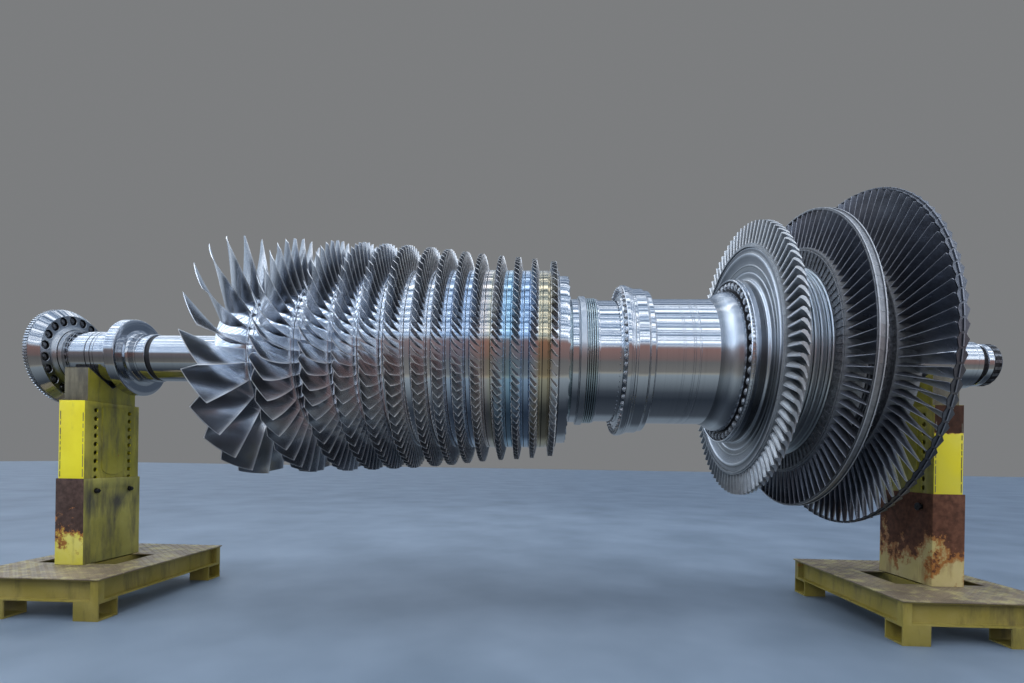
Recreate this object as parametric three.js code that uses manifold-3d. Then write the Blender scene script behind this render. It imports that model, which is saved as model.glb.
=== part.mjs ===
// Gas turbine rotor resting on two adjustable V-stands.
// Millimetres, +Z up. The rotor axis runs along +X, inlet end at -X, exhaust end at +X.
// The near side of the rotor is -Y and turns upward when the machine runs.
import * as THREE from "three";
import { mergeVertices } from "three/addons/utils/BufferGeometryUtils.js";
import Module from "manifold-3d";

const wasm = await Module();
wasm.setup();

// Driving dimensions
const AXIS_HEIGHT = 2145;
const SHAFT_SIDES = 24;
const WHEEL_SIDES = 28;
const BUCKETS_PER_STAGE = 92;
const PLATE = 12;
const SEAT_GAP = 0.3;

// Radii of the running surfaces
const STUB_RADIUS = 233;
const COLLAR_RADIUS = 339;
const FORWARD_JOURNAL_RADIUS = 204;
const AFT_JOURNAL_RADIUS = 195;
const TUBE_RADIUS = 530;

// Stands
const LEFT_POST_X = -3623;
const RIGHT_POST_X = 3614;
const DECK_TOP = 325;
const DECK_INWARD = 668;
const DECK_OUTWARD = 518;
const DECK_HALF_DEPTH = 796;
const DECK_THICKNESS = 10;
const FRAME_BOTTOM = 144;
const POST_WIDTH_X = 250;
const POST_WIDTH_Y = 640;
const OUTER_POST_TOP = 1060;
const V_HALF_ANGLE = Math.PI / 3;
const SADDLE_WIDTH_Y = 540;
const SADDLE_THICKNESS_X = 208;
const SADDLE_BELOW_APEX = 122;
const V_DEPTH = 150;

const COLOURS = {
  steel: 0xa9b0b8,
  polished: 0xc4ccd6,
  blade: 0x8e959e,
  dark: 0x3a3c42,
  yellow: 0xd2c22a,
  plate: 0x8d8774,
  liner: 0x33343a,
};

const group = new THREE.Group();
group.name = "gas_turbine_rotor";

function material(name) {
  const metal = name === "yellow" || name === "plate" || name === "liner" ? 0.2 : 0.9;
  return new THREE.MeshStandardMaterial({ color: COLOURS[name], metalness: metal, roughness: 0.45 });
}

function addMesh(name, geometry, colour) {
  const mesh = new THREE.Mesh(geometry, material(colour));
  mesh.name = name;
  group.add(mesh);
  return mesh;
}

// Collects vertices and faces of one closed solid.
class Solid {
  constructor() {
    this.points = [];
    this.faces = [];
  }
  point(x, y, z) {
    this.points.push(x, y, z);
    return this.points.length / 3 - 1;
  }
  // A point at station x, radius r and angle a; a = 0 faces -Y and grows upward.
  around(x, r, a) {
    return this.point(x, -r * Math.cos(a), AXIS_HEIGHT + r * Math.sin(a));
  }
  tri(a, b, c) {
    this.faces.push(a, b, c);
  }
  quad(a, b, c, d) {
    this.tri(a, b, c);
    this.tri(a, c, d);
  }
  geometry() {
    const geometry = new THREE.BufferGeometry();
    geometry.setAttribute("position", new THREE.Float32BufferAttribute(this.points, 3));
    geometry.setIndex(this.faces);
    geometry.computeVertexNormals();
    return geometry;
  }
}

// A solid of revolution about the rotor axis from stations [x, radius] listed front to back.
// The flats, not the corners, lie on the stated radius, so a flat can rest on a liner pad.
function turned(stations, sides) {
  const solid = new Solid();
  const stretch = 1 / Math.cos(Math.PI / sides);
  const rings = stations.map(([x, r]) => {
    const ring = [];
    for (let k = 0; k < sides; k += 1) {
      ring.push(solid.around(x, r * stretch, (2 * Math.PI * (k + 0.5)) / sides));
    }
    return ring;
  });
  const front = solid.around(stations[0][0], 0, 0);
  const back = solid.around(stations[stations.length - 1][0], 0, 0);
  for (let k = 0; k < sides; k += 1) {
    const n = (k + 1) % sides;
    solid.tri(front, rings[0][k], rings[0][n]);
    for (let i = 0; i + 1 < rings.length; i += 1) {
      solid.quad(rings[i][k], rings[i + 1][k], rings[i + 1][n], rings[i][n]);
    }
    solid.tri(back, rings[rings.length - 1][n], rings[rings.length - 1][k]);
  }
  return solid.geometry();
}

// A compressor wheel. Each blade has three corners in section: leading edge, belly of the convex
// side and trailing edge, and thins to an edge at its tip. Sections are listed from rim to tip.
// The drum band behind the row has one side for every two blades, and start is the angle of the
// first blade.
function compressorWheel(spec) {
  const { count, start, front, next, nextRadius, sections } = spec;
  const solid = new Solid();
  const pitch = (2 * Math.PI) / count;
  const last = sections.length - 1;
  const corner = (s, turn) => solid.around(s[0], s[1], turn + s[2] / s[1]);
  const blades = [];
  for (let k = 0; k < count; k += 1) {
    const turn = start + k * pitch;
    blades.push(
      sections.map((s, j) => ({
        lead: corner(s.lead, turn),
        belly: j < last ? corner(s.belly, turn) : -1,
        trail: corner(s.trail, turn),
      })),
    );
  }
  const aft = [];
  const rim = sections[0];
  for (let k = 0; k < count; k += 2) {
    aft.push(solid.around(next, nextRadius, start + k * pitch + rim.trail[2] / rim.trail[1]));
  }
  const frontHub = solid.around(front, 0, 0);
  const backHub = solid.around(next, 0, 0);
  for (let k = 0; k < count; k += 1) {
    const n = (k + 1) % count;
    const here = blades[k];
    const above = blades[n];
    for (let j = 0; j < last; j += 1) {
      const a = here[j];
      const b = here[j + 1];
      solid.quad(a.trail, a.lead, b.lead, b.trail);
      if (j + 1 < last) {
        solid.quad(a.lead, a.belly, b.belly, b.lead);
        solid.quad(a.belly, a.trail, b.trail, b.belly);
      } else {
        solid.tri(a.lead, a.belly, b.lead);
        solid.tri(a.belly, b.trail, b.lead);
        solid.tri(a.belly, a.trail, b.trail);
      }
    }
    solid.tri(here[0].lead, here[0].trail, above[0].belly);
    solid.tri(here[0].trail, above[0].trail, above[0].belly);
    solid.tri(here[0].lead, above[0].belly, above[0].lead);
    solid.tri(frontHub, here[0].lead, above[0].lead);
    if (k % 2 === 0) {
      const m = k / 2;
      const o = (m + 1) % aft.length;
      const beyond = blades[(k + 2) % count][0].trail;
      solid.tri(here[0].trail, aft[m], above[0].trail);
      solid.tri(aft[m], aft[o], above[0].trail);
      // With an odd count the last side of the band ends at the first blade.
      if (k + 1 < count) {
        solid.tri(above[0].trail, aft[o], beyond);
      }
      solid.tri(backHub, aft[o], aft[m]);
    }
  }
  return solid.geometry();
}

// A turbine wheel with its buckets. A shroud ring joins the tips where shroud is given.
function turbineWheel(spec) {
  const { front, back, frontRadius, backRadius, tip, tipRadius, bulge, drop, shroud } = spec;
  const solid = new Solid();
  const count = BUCKETS_PER_STAGE;
  const pitch = (2 * Math.PI) / count;
  const hollow = shroud === undefined;
  const buckets = [];
  for (let k = 0; k < count; k += 1) {
    const turn = k * pitch;
    const section = (x0, x1, r0, r1, fall, rise, dip) => {
      const middle = x0 + 0.45 * (x1 - x0);
      const radius = r0 + 0.45 * (r1 - r0);
      const corners = {
        lead: solid.around(x0, r0, turn),
        crown: solid.around(middle, radius, turn + rise / radius),
        trail: solid.around(x1, r1, turn - fall / r1),
      };
      if (hollow) {
        corners.belly = solid.around(middle, radius, turn + dip / radius);
      }
      return corners;
    };
    buckets.push([
      section(front, back, frontRadius, backRadius, drop[0], bulge[0], bulge[0] * 0.35),
      section(tip[0], tip[1], tipRadius, tipRadius, drop[1], bulge[1], bulge[1] * 0.2),
    ]);
  }
  const frontHub = solid.around(front, 0, 0);
  const backHub = solid.around(back, 0, 0);
  const ringFront = [];
  const ringBack = [];
  if (!hollow) {
    for (let k = 0; k < count; k += 2) {
      ringFront.push(solid.around(tip[0], shroud, k * pitch));
      ringBack.push(solid.around(tip[1], shroud, k * pitch - drop[1] / tipRadius));
    }
  }
  for (let k = 0; k < count; k += 1) {
    const n = (k + 1) % count;
    const [a, b] = buckets[k];
    const [c, d] = buckets[n];
    if (hollow) {
      solid.quad(a.lead, a.belly, b.belly, b.lead);
      solid.quad(a.belly, a.trail, b.trail, b.belly);
      solid.tri(b.lead, b.belly, b.crown);
      solid.tri(b.belly, b.trail, b.crown);
      solid.tri(a.lead, a.crown, c.lead);
      solid.tri(a.crown, c.belly, c.lead);
      solid.tri(a.crown, a.trail, c.belly);
      solid.tri(a.trail, c.trail, c.belly);
    } else {
      solid.quad(a.lead, a.trail, b.trail, b.lead);
      solid.tri(a.lead, a.crown, c.lead);
      solid.tri(a.crown, a.trail, c.trail);
      solid.tri(a.crown, c.trail, c.lead);
      solid.tri(b.lead, d.lead, b.crown);
      solid.tri(b.crown, d.trail, b.trail);
      solid.tri(b.crown, d.lead, d.trail);
      if (k % 2 === 0) {
        const m = k / 2;
        const o = (m + 1) % ringFront.length;
        const beyond = buckets[(k + 2) % count][1];
        solid.quad(ringFront[m], ringBack[m], ringBack[o], ringFront[o]);
        solid.tri(b.lead, ringFront[m], d.lead);
        solid.tri(ringFront[m], ringFront[o], d.lead);
        solid.tri(d.lead, ringFront[o], beyond.lead);
        solid.tri(b.trail, d.trail, ringBack[m]);
        solid.tri(d.trail, ringBack[o], ringBack[m]);
        solid.tri(d.trail, beyond.trail, ringBack[o]);
      }
    }
    solid.quad(a.crown, b.crown, b.trail, a.trail);
    solid.quad(a.lead, b.lead, b.crown, a.crown);
    solid.tri(frontHub, a.lead, c.lead);
    solid.tri(backHub, c.trail, a.trail);
  }
  return solid.geometry();
}

// A prism from a closed outline [y, z], pushed along X.
function prismX(outline, x0, x1) {
  const shape = new THREE.Shape(outline.map(([y, z]) => new THREE.Vector2(y, z)));
  const geometry = new THREE.ExtrudeGeometry(shape, { depth: x1 - x0, bevelEnabled: false });
  geometry.rotateX(Math.PI / 2);
  geometry.rotateZ(Math.PI / 2);
  geometry.translate(x0, 0, 0);
  return geometry;
}

// A plate in plan: outline [x, y] with rectangular holes, pushed up from z0 to z1.
function prismZ(outline, holes, z0, z1) {
  const shape = new THREE.Shape(outline.map(([x, y]) => new THREE.Vector2(x, y)));
  for (const hole of holes) {
    shape.holes.push(new THREE.Path(hole.map(([x, y]) => new THREE.Vector2(x, y))));
  }
  const geometry = new THREE.ExtrudeGeometry(shape, { depth: z1 - z0, bevelEnabled: false });
  geometry.translate(0, 0, z0);
  return geometry;
}

function rectangle(x0, x1, y0, y1) {
  return [[x0, y0], [x1, y0], [x1, y1], [x0, y1]];
}

// Inlet end: toothed load coupling flange, stub shaft, thrust collar and journal
addMesh(
  "load_coupling_flange",
  turned(
    [
      [-3977, 395], [-3965, 423], [-3925, 423], [-3912, 412], [-3866, 370],
      [-3856, 362], [-3852, 290], [-3815, 240], [-3770, STUB_RADIUS],
    ],
    WHEEL_SIDES,
  ),
  "steel",
);
addMesh(
  "forward_stub_shaft",
  turned([[-3770, STUB_RADIUS], [-3360, STUB_RADIUS], [-3340, 262]], SHAFT_SIDES),
  "polished",
);
addMesh(
  "thrust_collar",
  turned(
    [
      [-3340, COLLAR_RADIUS - 6], [-3334, COLLAR_RADIUS], [-3254, COLLAR_RADIUS],
      [-3248, COLLAR_RADIUS - 6], [-3244, 246], [-3222, 213], [-3075, 213],
    ],
    WHEEL_SIDES,
  ),
  "steel",
);
addMesh(
  "forward_journal",
  turned(
    [
      [-3075, 200], [-3036, 200], [-3036, FORWARD_JOURNAL_RADIUS],
      [-2420, FORWARD_JOURNAL_RADIUS], [-2318, 262],
    ],
    SHAFT_SIDES,
  ),
  "polished",
);

// Compressor: one wheel per stage, each carrying its row of blades and the drum band behind it.
// One row of the list is one stage: blade count, angle of the first blade, front and back station
// of the blade roots, next wheel station, drum radii at those three, leading and trailing tip
// stations, tip radius, and the blade's angle from the axis at root and tip.
const STAGES = [
  [23, -0.0995, -2318, -1980, -1905, 458, 556, 586, -2209, -2070, 1025, 0.45, 1.07],
  [40, 0.07, -1905, -1575, -1489, 586, 652, 670, -1718, -1625, 1003, 0.56, 1.055],
  [52, 0.013, -1489, -1261, -1226, 670, 714, 721, -1369, -1306, 988, 0.67, 1.045],
  [60, 0.051, -1226, -1061, -1026, 721, 739, 742, -1135, -1082, 975, 0.7, 0.97],
  [69, 0.025, -1026, -869, -829, 742, 750, 752, -947, -896, 963, 0.74, 0.965],
  [73, 0.003, -829, -695, -625, 752, 755, 756, -769, -722, 952, 0.74, 0.9],
  [78, -0.013, -625, -514, -469, 756, 757, 758, -576, -534, 935, 0.74, 0.9],
  [81, 0.017, -469, -373, -320, 758, 758, 759, -430, -390, 921, 0.74, 0.94],
  [84, -0.025, -320, -224, -179, 759, 759, 759, -287, -254, 902, 0.74, 0.97],
  [89, 0.009, -179, -90, -23, 759, 759, 758, -153, -120, 886, 0.74, 0.87],
  [87, -0.015, -23, 74, 127, 758, 757, 757, 11, 39, 870, 0.74, 0.94],
  [84, 0.02, 127, 208, 267, 757, 756, 755, 145, 183, 860, 0.74, 0.87],
  [85, 0, 267, 342, 424, 755, 754, 753, 280, 314, 847, 0.74, 0.94],
  [66, 0, 424, 491, 496, 752, 751, 751, 436, 476, 828, 0.74, 0.87],
].map(([count, start, front, back, next, r0, r1, r2, tip0, tip1, tipRadius, lean0, lean1]) => ({
  count,
  start,
  rim: [front, back],
  next,
  radii: [r0, r1, r2],
  tip: [tip0, tip1],
  tipRadius,
  lean: [lean0, lean1],
}));

STAGES.forEach((stage, index) => {
  const [front, back] = stage.rim;
  const [frontRadius, backRadius, nextRadius] = stage.radii;
  const pitch = (2 * Math.PI) / stage.count;
  const steps = index === 0 ? 3 : index === 1 ? 2 : 1;
  const sections = [];
  for (let j = 0; j <= steps; j += 1) {
    const t = j / steps;
    const x0 = front + (stage.tip[0] - front) * t;
    const x1 = back + (stage.tip[1] - back) * t;
    const r0 = frontRadius + (stage.tipRadius - frontRadius) * t;
    const r1 = backRadius + (stage.tipRadius - backRadius) * t;
    const chord = x1 - x0;
    // The blade lies over more from the axial direction towards its tip. Between the roots there
    // is only the width of one blade, so the root's own fall is kept within that.
    const lean = Math.tan(stage.lean[0] + (stage.lean[1] - stage.lean[0]) * t);
    const most = j === 0 ? 0.5 * chord + 0.1 * r1 * pitch : chord;
    const fall = Math.min(0.5 * chord * lean, most);
    const sag = Math.min(0.3 * r0 * pitch, 0.16 * chord + 4);
    sections.push({
      lead: [x0, r0, fall],
      belly: [x0 + 0.45 * chord, r0 + 0.45 * (r1 - r0), 0.1 * fall - sag],
      trail: [x1, r1, -fall],
    });
  }
  const name = "compressor_stage_" + String(index).padStart(2, "0");
  addMesh(
    name,
    compressorWheel({
      count: stage.count,
      start: stage.start,
      front,
      next: stage.next,
      nextRadius,
      sections,
    }),
    index < 7 ? "blade" : "polished",
  );
});

// Compressor outlet: scalloped ring, seal rings and the distance piece
addMesh(
  "compressor_aft_ring",
  turned([[496, 712], [569, 712], [580, 704]], WHEEL_SIDES),
  "polished",
);
addMesh(
  "compressor_seal_hub",
  turned(
    [[580, 470], [607, 470], [607, 528], [666, 528], [669, 551], [719, 551], [719, 533], [805, 533]],
    WHEEL_SIDES,
  ),
  "steel",
);
addMesh("distance_piece", turned([[805, 517], [1000, 517]], WHEEL_SIDES), "polished");
addMesh(
  "marriage_coupling",
  turned(
    [
      [1000, 630], [1010, 640], [1046, 640], [1066, 628], [1100, 622],
      [1106, 613], [1190, 613], [1195, 598], [1242, 596],
    ],
    WHEEL_SIDES,
  ),
  "steel",
);

// Turbine forward shaft with its flared end
addMesh(
  "turbine_forward_shaft",
  turned(
    [
      [1242, TUBE_RADIUS], [1742, TUBE_RADIUS], [1790, 548],
      [1840, 580], [1880, 589], [1912, 591],
    ],
    WHEEL_SIDES,
  ),
  "polished",
);
addMesh(
  "turbine_bolt_flange",
  turned([[1912, 680], [1919, 687], [1984, 688]], WHEEL_SIDES),
  "polished",
);
addMesh(
  "turbine_wheel_1_face",
  turned(
    [
      [1984, 672], [2026, 676], [2030, 690], [2033, 750],
      [2030, 800], [2024, 886], [2035, 940],
    ],
    WHEEL_SIDES,
  ),
  "steel",
);

// Turbine stages with the spacer wheels between them
addMesh(
  "turbine_stage_1",
  turbineWheel({
    front: 2035, back: 2195, frontRadius: 969, backRadius: 969,
    tip: [2046, 2108], tipRadius: 1135, bulge: [26, 20], drop: [46, 68],
  }),
  "blade",
);
addMesh(
  "spacer_1_2",
  turned([[2195, 842], [2230, 842], [2245, 795], [2455, 788]], WHEEL_SIDES),
  "steel",
);
addMesh(
  "turbine_stage_2",
  turbineWheel({
    front: 2455, back: 2600, frontRadius: 930, backRadius: 934,
    tip: [2478, 2560], tipRadius: 1205, bulge: [24, 14], drop: [40, 60], shroud: 1220,
  }),
  "dark",
);
addMesh(
  "spacer_2_3",
  turned(
    [[2600, 820], [2635, 820], [2650, 778], [2800, 778], [2815, 820], [2835, 820]],
    WHEEL_SIDES,
  ),
  "steel",
);
addMesh(
  "turbine_stage_3",
  turbineWheel({
    front: 2835, back: 3000, frontRadius: 876, backRadius: 890,
    tip: [2856, 2934], tipRadius: 1342, bulge: [24, 10], drop: [36, 66], shroud: 1357,
  }),
  "dark",
);

// Exhaust end: bolted cone, journal and shaft end
addMesh(
  "aft_shaft_cone",
  turned(
    [
      [3000, 560], [3060, 560], [3075, 470], [3180, 330],
      [3270, 262], [3400, 250], [3420, 232],
    ],
    WHEEL_SIDES,
  ),
  "steel",
);
addMesh(
  "aft_journal",
  turned([[3420, AFT_JOURNAL_RADIUS], [3969, AFT_JOURNAL_RADIUS]], SHAFT_SIDES),
  "polished",
);
addMesh(
  "aft_shaft_end",
  turned(
    [
      [3969, 170], [4023, 170], [4023, 178], [4068, 178],
      [4072, 174], [4129, 174], [4141, 162],
    ],
    SHAFT_SIDES,
  ),
  "steel",
);

// One stand: skid frame on four feet, deck plate, telescoping posts, V-saddle and its liner.
// side = -1 for the inlet end and +1 for the exhaust end; the deck reaches further inward.
function buildStand(label, side, postX, shaftRadius) {
  const inner = postX - side * DECK_INWARD;
  const outer = postX + side * DECK_OUTWARD;
  const x0 = Math.min(inner, outer);
  const x1 = Math.max(inner, outer);
  const lip = 14;
  const frameTop = DECK_TOP - DECK_THICKNESS;
  const holeX = 350;
  const holeY = 245;

  const foot = 196;
  const feetX = side < 0 ? [x0 + 224, x1 - lip - foot] : [x0 + lip, x1 - 224 - foot];
  addMesh(label + "_skid_frame", skidFrame(x0 + lip, x1 - lip, frameTop, feetX, postX), "yellow");
  addMesh(
    label + "_deck_plate",
    prismZ(
      rectangle(x0, x1, -DECK_HALF_DEPTH, DECK_HALF_DEPTH),
      [rectangle(postX - holeX, postX + holeX, -holeY, holeY)],
      frameTop,
      DECK_TOP,
    ),
    "plate",
  );

  const halfX = POST_WIDTH_X / 2;
  const halfY = POST_WIDTH_Y / 2;
  addMesh(
    label + "_outer_post",
    prismZ(
      rectangle(postX - halfX, postX + halfX, -halfY, halfY),
      [rectangle(postX - halfX + PLATE, postX + halfX - PLATE, -halfY + PLATE, halfY - PLATE)],
      DECK_TOP,
      OUTER_POST_TOP,
    ),
    "yellow",
  );

  const apexDrop = (shaftRadius + PLATE + SEAT_GAP) / Math.sin(V_HALF_ANGLE);
  const apex = AXIS_HEIGHT - apexDrop;
  const saddleBottom = apex - SADDLE_BELOW_APEX;
  const postHalfX = halfX - PLATE;
  const postHalfY = halfY - PLATE;
  addMesh(
    label + "_inner_post",
    prismZ(
      rectangle(postX - postHalfX, postX + postHalfX, -postHalfY, postHalfY),
      [rectangle(postX - postHalfX + PLATE, postX + postHalfX - PLATE, -postHalfY + PLATE, postHalfY - PLATE)],
      DECK_TOP + 60,
      saddleBottom - PLATE,
    ),
    "yellow",
  );

  const halfSaddle = SADDLE_WIDTH_Y / 2;
  const reach = V_DEPTH * Math.tan(V_HALF_ANGLE);
  const top = apex + V_DEPTH;
  const s0 = postX - SADDLE_THICKNESS_X / 2;
  const s1 = postX + SADDLE_THICKNESS_X / 2;
  addMesh(
    label + "_saddle",
    prismX(
      [
        [-halfSaddle, saddleBottom - PLATE],
        [halfSaddle, saddleBottom - PLATE],
        [halfSaddle, top],
        [reach, top],
        [0, apex],
        [-reach, top],
        [-halfSaddle, top],
      ],
      s0,
      s1,
    ),
    "yellow",
  );

  const lift = PLATE / Math.sin(V_HALF_ANGLE);
  const end = reach - 6;
  const slope = 1 / Math.tan(V_HALF_ANGLE);
  addMesh(
    label + "_saddle_liner",
    prismX(
      [
        [0, apex],
        [end, apex + end * slope],
        [end, apex + end * slope + lift],
        [0, apex + lift],
        [-end, apex + end * slope + lift],
        [-end, apex + end * slope],
      ],
      s0 + 4,
      s1 - 4,
    ),
    "liner",
  );
}

// A box as a boolean solid, from its lowest to its highest corner.
function block(x0, x1, y0, y1, z0, z1) {
  const box = new THREE.BoxGeometry(x1 - x0, y1 - y0, z1 - z0);
  box.translate((x0 + x1) / 2, (y0 + y1) / 2, (z0 + z1) / 2);
  box.deleteAttribute("normal");
  box.deleteAttribute("uv");
  const merged = mergeVertices(box);
  return new wasm.Manifold(
    new wasm.Mesh({
      numProp: 3,
      vertProperties: Float32Array.from(merged.attributes.position.array),
      triVerts: Uint32Array.from(merged.index.array),
    }),
  );
}

function toGeometry(manifold) {
  const mesh = manifold.getMesh();
  const geometry = new THREE.BufferGeometry();
  geometry.setAttribute("position", new THREE.BufferAttribute(mesh.vertProperties, 3));
  geometry.setIndex(new THREE.BufferAttribute(mesh.triVerts, 1));
  geometry.computeVertexNormals();
  return geometry;
}

// Channel frame round the deck, two cross members under the post and four feet of square tube,
// one welded body. The channels are open outward; the tubes are open at both ends along X.
function skidFrame(x0, x1, top, feetX, postX) {
  const y = DECK_HALF_DEPTH - 14;
  const rail = 62;
  const flange = 11;
  const web = 50;
  const foot = 196;
  let frame = block(x0, x1, -y, y, FRAME_BOTTOM, top);
  frame = frame.subtract(block(x0 + rail, x1 - rail, -y + rail, y - rail, FRAME_BOTTOM - 5, top + 5));
  for (const cx of [postX - 88, postX + 88]) {
    frame = frame.add(block(cx - 35, cx + 35, -y + rail - 4, y - rail + 4, FRAME_BOTTOM + 20, top));
  }
  for (const sign of [-1, 1]) {
    const ya = sign < 0 ? -y - 5 : y - web;
    frame = frame.subtract(block(x0 + rail, x1 - rail, ya, ya + web + 5, FRAME_BOTTOM + flange, top - flange));
    const xa = sign < 0 ? x0 - 5 : x1 - web;
    frame = frame.subtract(block(xa, xa + web + 5, -y + rail, y - rail, FRAME_BOTTOM + flange, top - flange));
    for (const fx of feetX) {
      const y0 = sign < 0 ? -y : y - foot;
      const tube = block(fx, fx + foot, y0, y0 + foot, 0, FRAME_BOTTOM + 1);
      const bore = block(fx - 5, fx + foot + 5, y0 + PLATE, y0 + foot - PLATE, PLATE, FRAME_BOTTOM - PLATE);
      frame = frame.add(tube.subtract(bore));
    }
  }
  return toGeometry(frame);
}

buildStand("left", -1, LEFT_POST_X, STUB_RADIUS);
buildStand("right", 1, RIGHT_POST_X, AFT_JOURNAL_RADIUS);

export default group;
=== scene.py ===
"""Looks of a gas turbine rotor and of the two adjustable stands that it rests on."""

import math
import random

import bmesh
import bpy
from mathutils import Matrix, Vector


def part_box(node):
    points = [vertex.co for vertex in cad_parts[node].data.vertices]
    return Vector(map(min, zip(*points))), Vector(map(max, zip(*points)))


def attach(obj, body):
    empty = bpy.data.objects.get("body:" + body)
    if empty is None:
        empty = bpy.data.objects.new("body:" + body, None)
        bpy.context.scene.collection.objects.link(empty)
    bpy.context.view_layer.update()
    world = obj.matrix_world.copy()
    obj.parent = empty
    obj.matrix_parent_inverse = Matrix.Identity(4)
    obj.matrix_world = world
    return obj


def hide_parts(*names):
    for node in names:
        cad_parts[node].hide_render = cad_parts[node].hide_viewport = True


bl_info = {
    "name": "Gas turbine rotor on stands",
    "version": (1, 0, 0),
    "blender": (4, 5, 0),
    "location": "View3D > Sidebar > Rotor",
    "description": "Builds the bladed rotor, its two stands and the studio",
    "category": "Object",
}

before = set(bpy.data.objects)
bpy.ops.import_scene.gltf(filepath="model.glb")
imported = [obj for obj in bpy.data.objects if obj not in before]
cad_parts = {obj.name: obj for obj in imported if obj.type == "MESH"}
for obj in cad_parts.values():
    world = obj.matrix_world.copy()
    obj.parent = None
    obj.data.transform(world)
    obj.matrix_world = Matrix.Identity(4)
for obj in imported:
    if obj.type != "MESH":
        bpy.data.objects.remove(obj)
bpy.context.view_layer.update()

MM = 0.001
JOURNAL_LOW, JOURNAL_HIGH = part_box("aft_journal")
AXIS = (JOURNAL_LOW.z + JOURNAL_HIGH.z) / 2
SHAFT_SIDES = 96
WHEEL_SIDES = 160
SMOOTH_BELOW = math.radians(31)
# Corners are rounded from this angle in radians; a radius under ON_AXIS mm lies on the axis
ROUNDED_FROM = 0.3
ON_AXIS = 0.01
BODY = "root"


# Meshes


class Shell:
    """Points and faces of one piece; stations and radii on the rotor are in millimetres."""

    def __init__(self, axis=None):
        self.axis = AXIS if axis is None else axis
        self.points = []
        self.wear_and_glint = []
        self.faces = []
        self.slots = []

    def point(self, x, y, z, wear_and_glint=0.0):
        self.points.append((x, y, z))
        self.wear_and_glint.append(wear_and_glint)
        return len(self.points) - 1

    def around(self, x, r, a, wear_and_glint=0.0):
        """A point at station x and radius r; angle 0 faces -Y and grows upward there."""
        return self.point(
            x * MM, -r * MM * math.cos(a), self.axis + r * MM * math.sin(a), wear_and_glint
        )

    def face(self, *corners, slot=0):
        self.faces.append(corners)
        self.slots.append(slot)

    def band(self, first, second, slot=0):
        """Faces between two closed rows of points of the same length."""
        count = len(first)
        for k in range(count):
            n = (k + 1) % count
            self.face(first[k], second[k], second[n], first[n], slot=slot)

    def stack(self, rows):
        """Bands between successive rows, with a face on the first row and on the last."""
        for first, second in zip(rows, rows[1:]):
            self.band(first, second)
        self.face(*rows[0])
        self.face(*rows[-1])

    def block(self, corners):
        """The six sides of a block, from its two sets of four corners along X."""
        a, b, c, d, e, f, g, h = corners
        self.face(a, b, d, c)
        self.face(e, g, h, f)
        self.face(a, e, f, b)
        self.face(c, d, h, g)
        self.face(a, c, g, e)
        self.face(b, f, h, d)

    def object(self, name, finishes):
        """The piece as a Blender object with its faces turned outward."""
        mesh = bpy.data.meshes.new(name)
        mesh.from_pydata(self.points, [], self.faces)
        mesh.polygons.foreach_set("material_index", self.slots)
        # Share of painted highlight, partly real wear, at each point; the blade finishes read it
        wear_plus_glint = mesh.attributes.new("wear_and_glint", "FLOAT", "POINT")
        wear_plus_glint.data.foreach_set("value", self.wear_and_glint)
        for finish in finishes:
            mesh.materials.append(finish)
        body = bmesh.new()
        body.from_mesh(mesh)
        bmesh.ops.remove_doubles(body, verts=body.verts, dist=1e-6)
        bmesh.ops.recalc_face_normals(body, faces=body.faces)
        body.to_mesh(mesh)
        body.free()
        mesh.shade_smooth()
        mesh.set_sharp_from_angle(angle=SMOOTH_BELOW)
        obj = bpy.data.objects.new(name, mesh)
        bpy.context.scene.collection.objects.link(obj)
        return obj


def eased(stations, radius=3.0):
    """The stations with every corner of ROUNDED_FROM radians or more turned into a small round."""
    result = [stations[0]]
    for before, here, after in zip(stations, stations[1:], stations[2:]):
        start = Vector(here) - Vector(before)
        end = Vector(after) - Vector(here)
        if start.length < 1e-6 or end.length < 1e-6 or start.angle(end) < ROUNDED_FROM:
            result.append(here)
            continue
        cut = min(radius, 0.4 * start.length, 0.4 * end.length)
        first = Vector(here) - start.normalized() * cut
        last = Vector(here) + end.normalized() * cut
        middle = 0.25 * first + 0.5 * Vector(here) + 0.25 * last
        result += [tuple(first), tuple(middle), tuple(last)]
    result.append(stations[-1])
    return result


def supported(stations):
    """Adds a station close to both ends of each straight run, so that its shading stays flat."""
    near = 1.5
    shortest = 8.0
    result = [stations[0]]
    for first, last in zip(stations, stations[1:]):
        along, across = abs(last[0] - first[0]), abs(last[1] - first[1])
        gap = math.hypot(along, across)
        straight = min(along, across) < 0.06 * max(along, across)
        if straight and gap > shortest and min(first[1], last[1]) > ON_AXIS:
            for share in (near / gap, 1 - near / gap):
                result.append(tuple(a + share * (b - a) for a, b in zip(first, last)))
        result.append(last)
    return result


def turned(shell, stations, sides, slots=(), front=True, back=True):
    """Turns the stations about the rotor axis. slots lists (from x, to x, material slot)."""
    stations = supported(stations)
    rings = []
    for x, r in stations:
        if r < ON_AXIS:
            rings.append([shell.around(x, 0, 0)] * sides)
            continue
        rings.append(
            [shell.around(x, r, 2 * math.pi * k / sides) for k in range(sides)]
        )
    for i in range(len(rings) - 1):
        middle = 0.5 * (stations[i][0] + stations[i + 1][0])
        slot = next((s for a, b, s in slots if a <= middle <= b), 0)
        for k in range(sides):
            n = (k + 1) % sides
            corners = [rings[i][k], rings[i + 1][k], rings[i + 1][n], rings[i][n]]
            corners = list(dict.fromkeys(corners))
            if len(corners) > 2:
                shell.face(*corners, slot=slot)
    if front and stations[0][1] > ON_AXIS:
        shell.face(*rings[0])
    if back and stations[-1][1] > ON_AXIS:
        shell.face(*rings[-1])


def turned_object(name, stations, steels, sides=WHEEL_SIDES, slots=()):
    """A turned shape as an object of its own."""
    shell = Shell()
    turned(shell, stations, sides, slots)
    return shell.object(name, steels)


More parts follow.
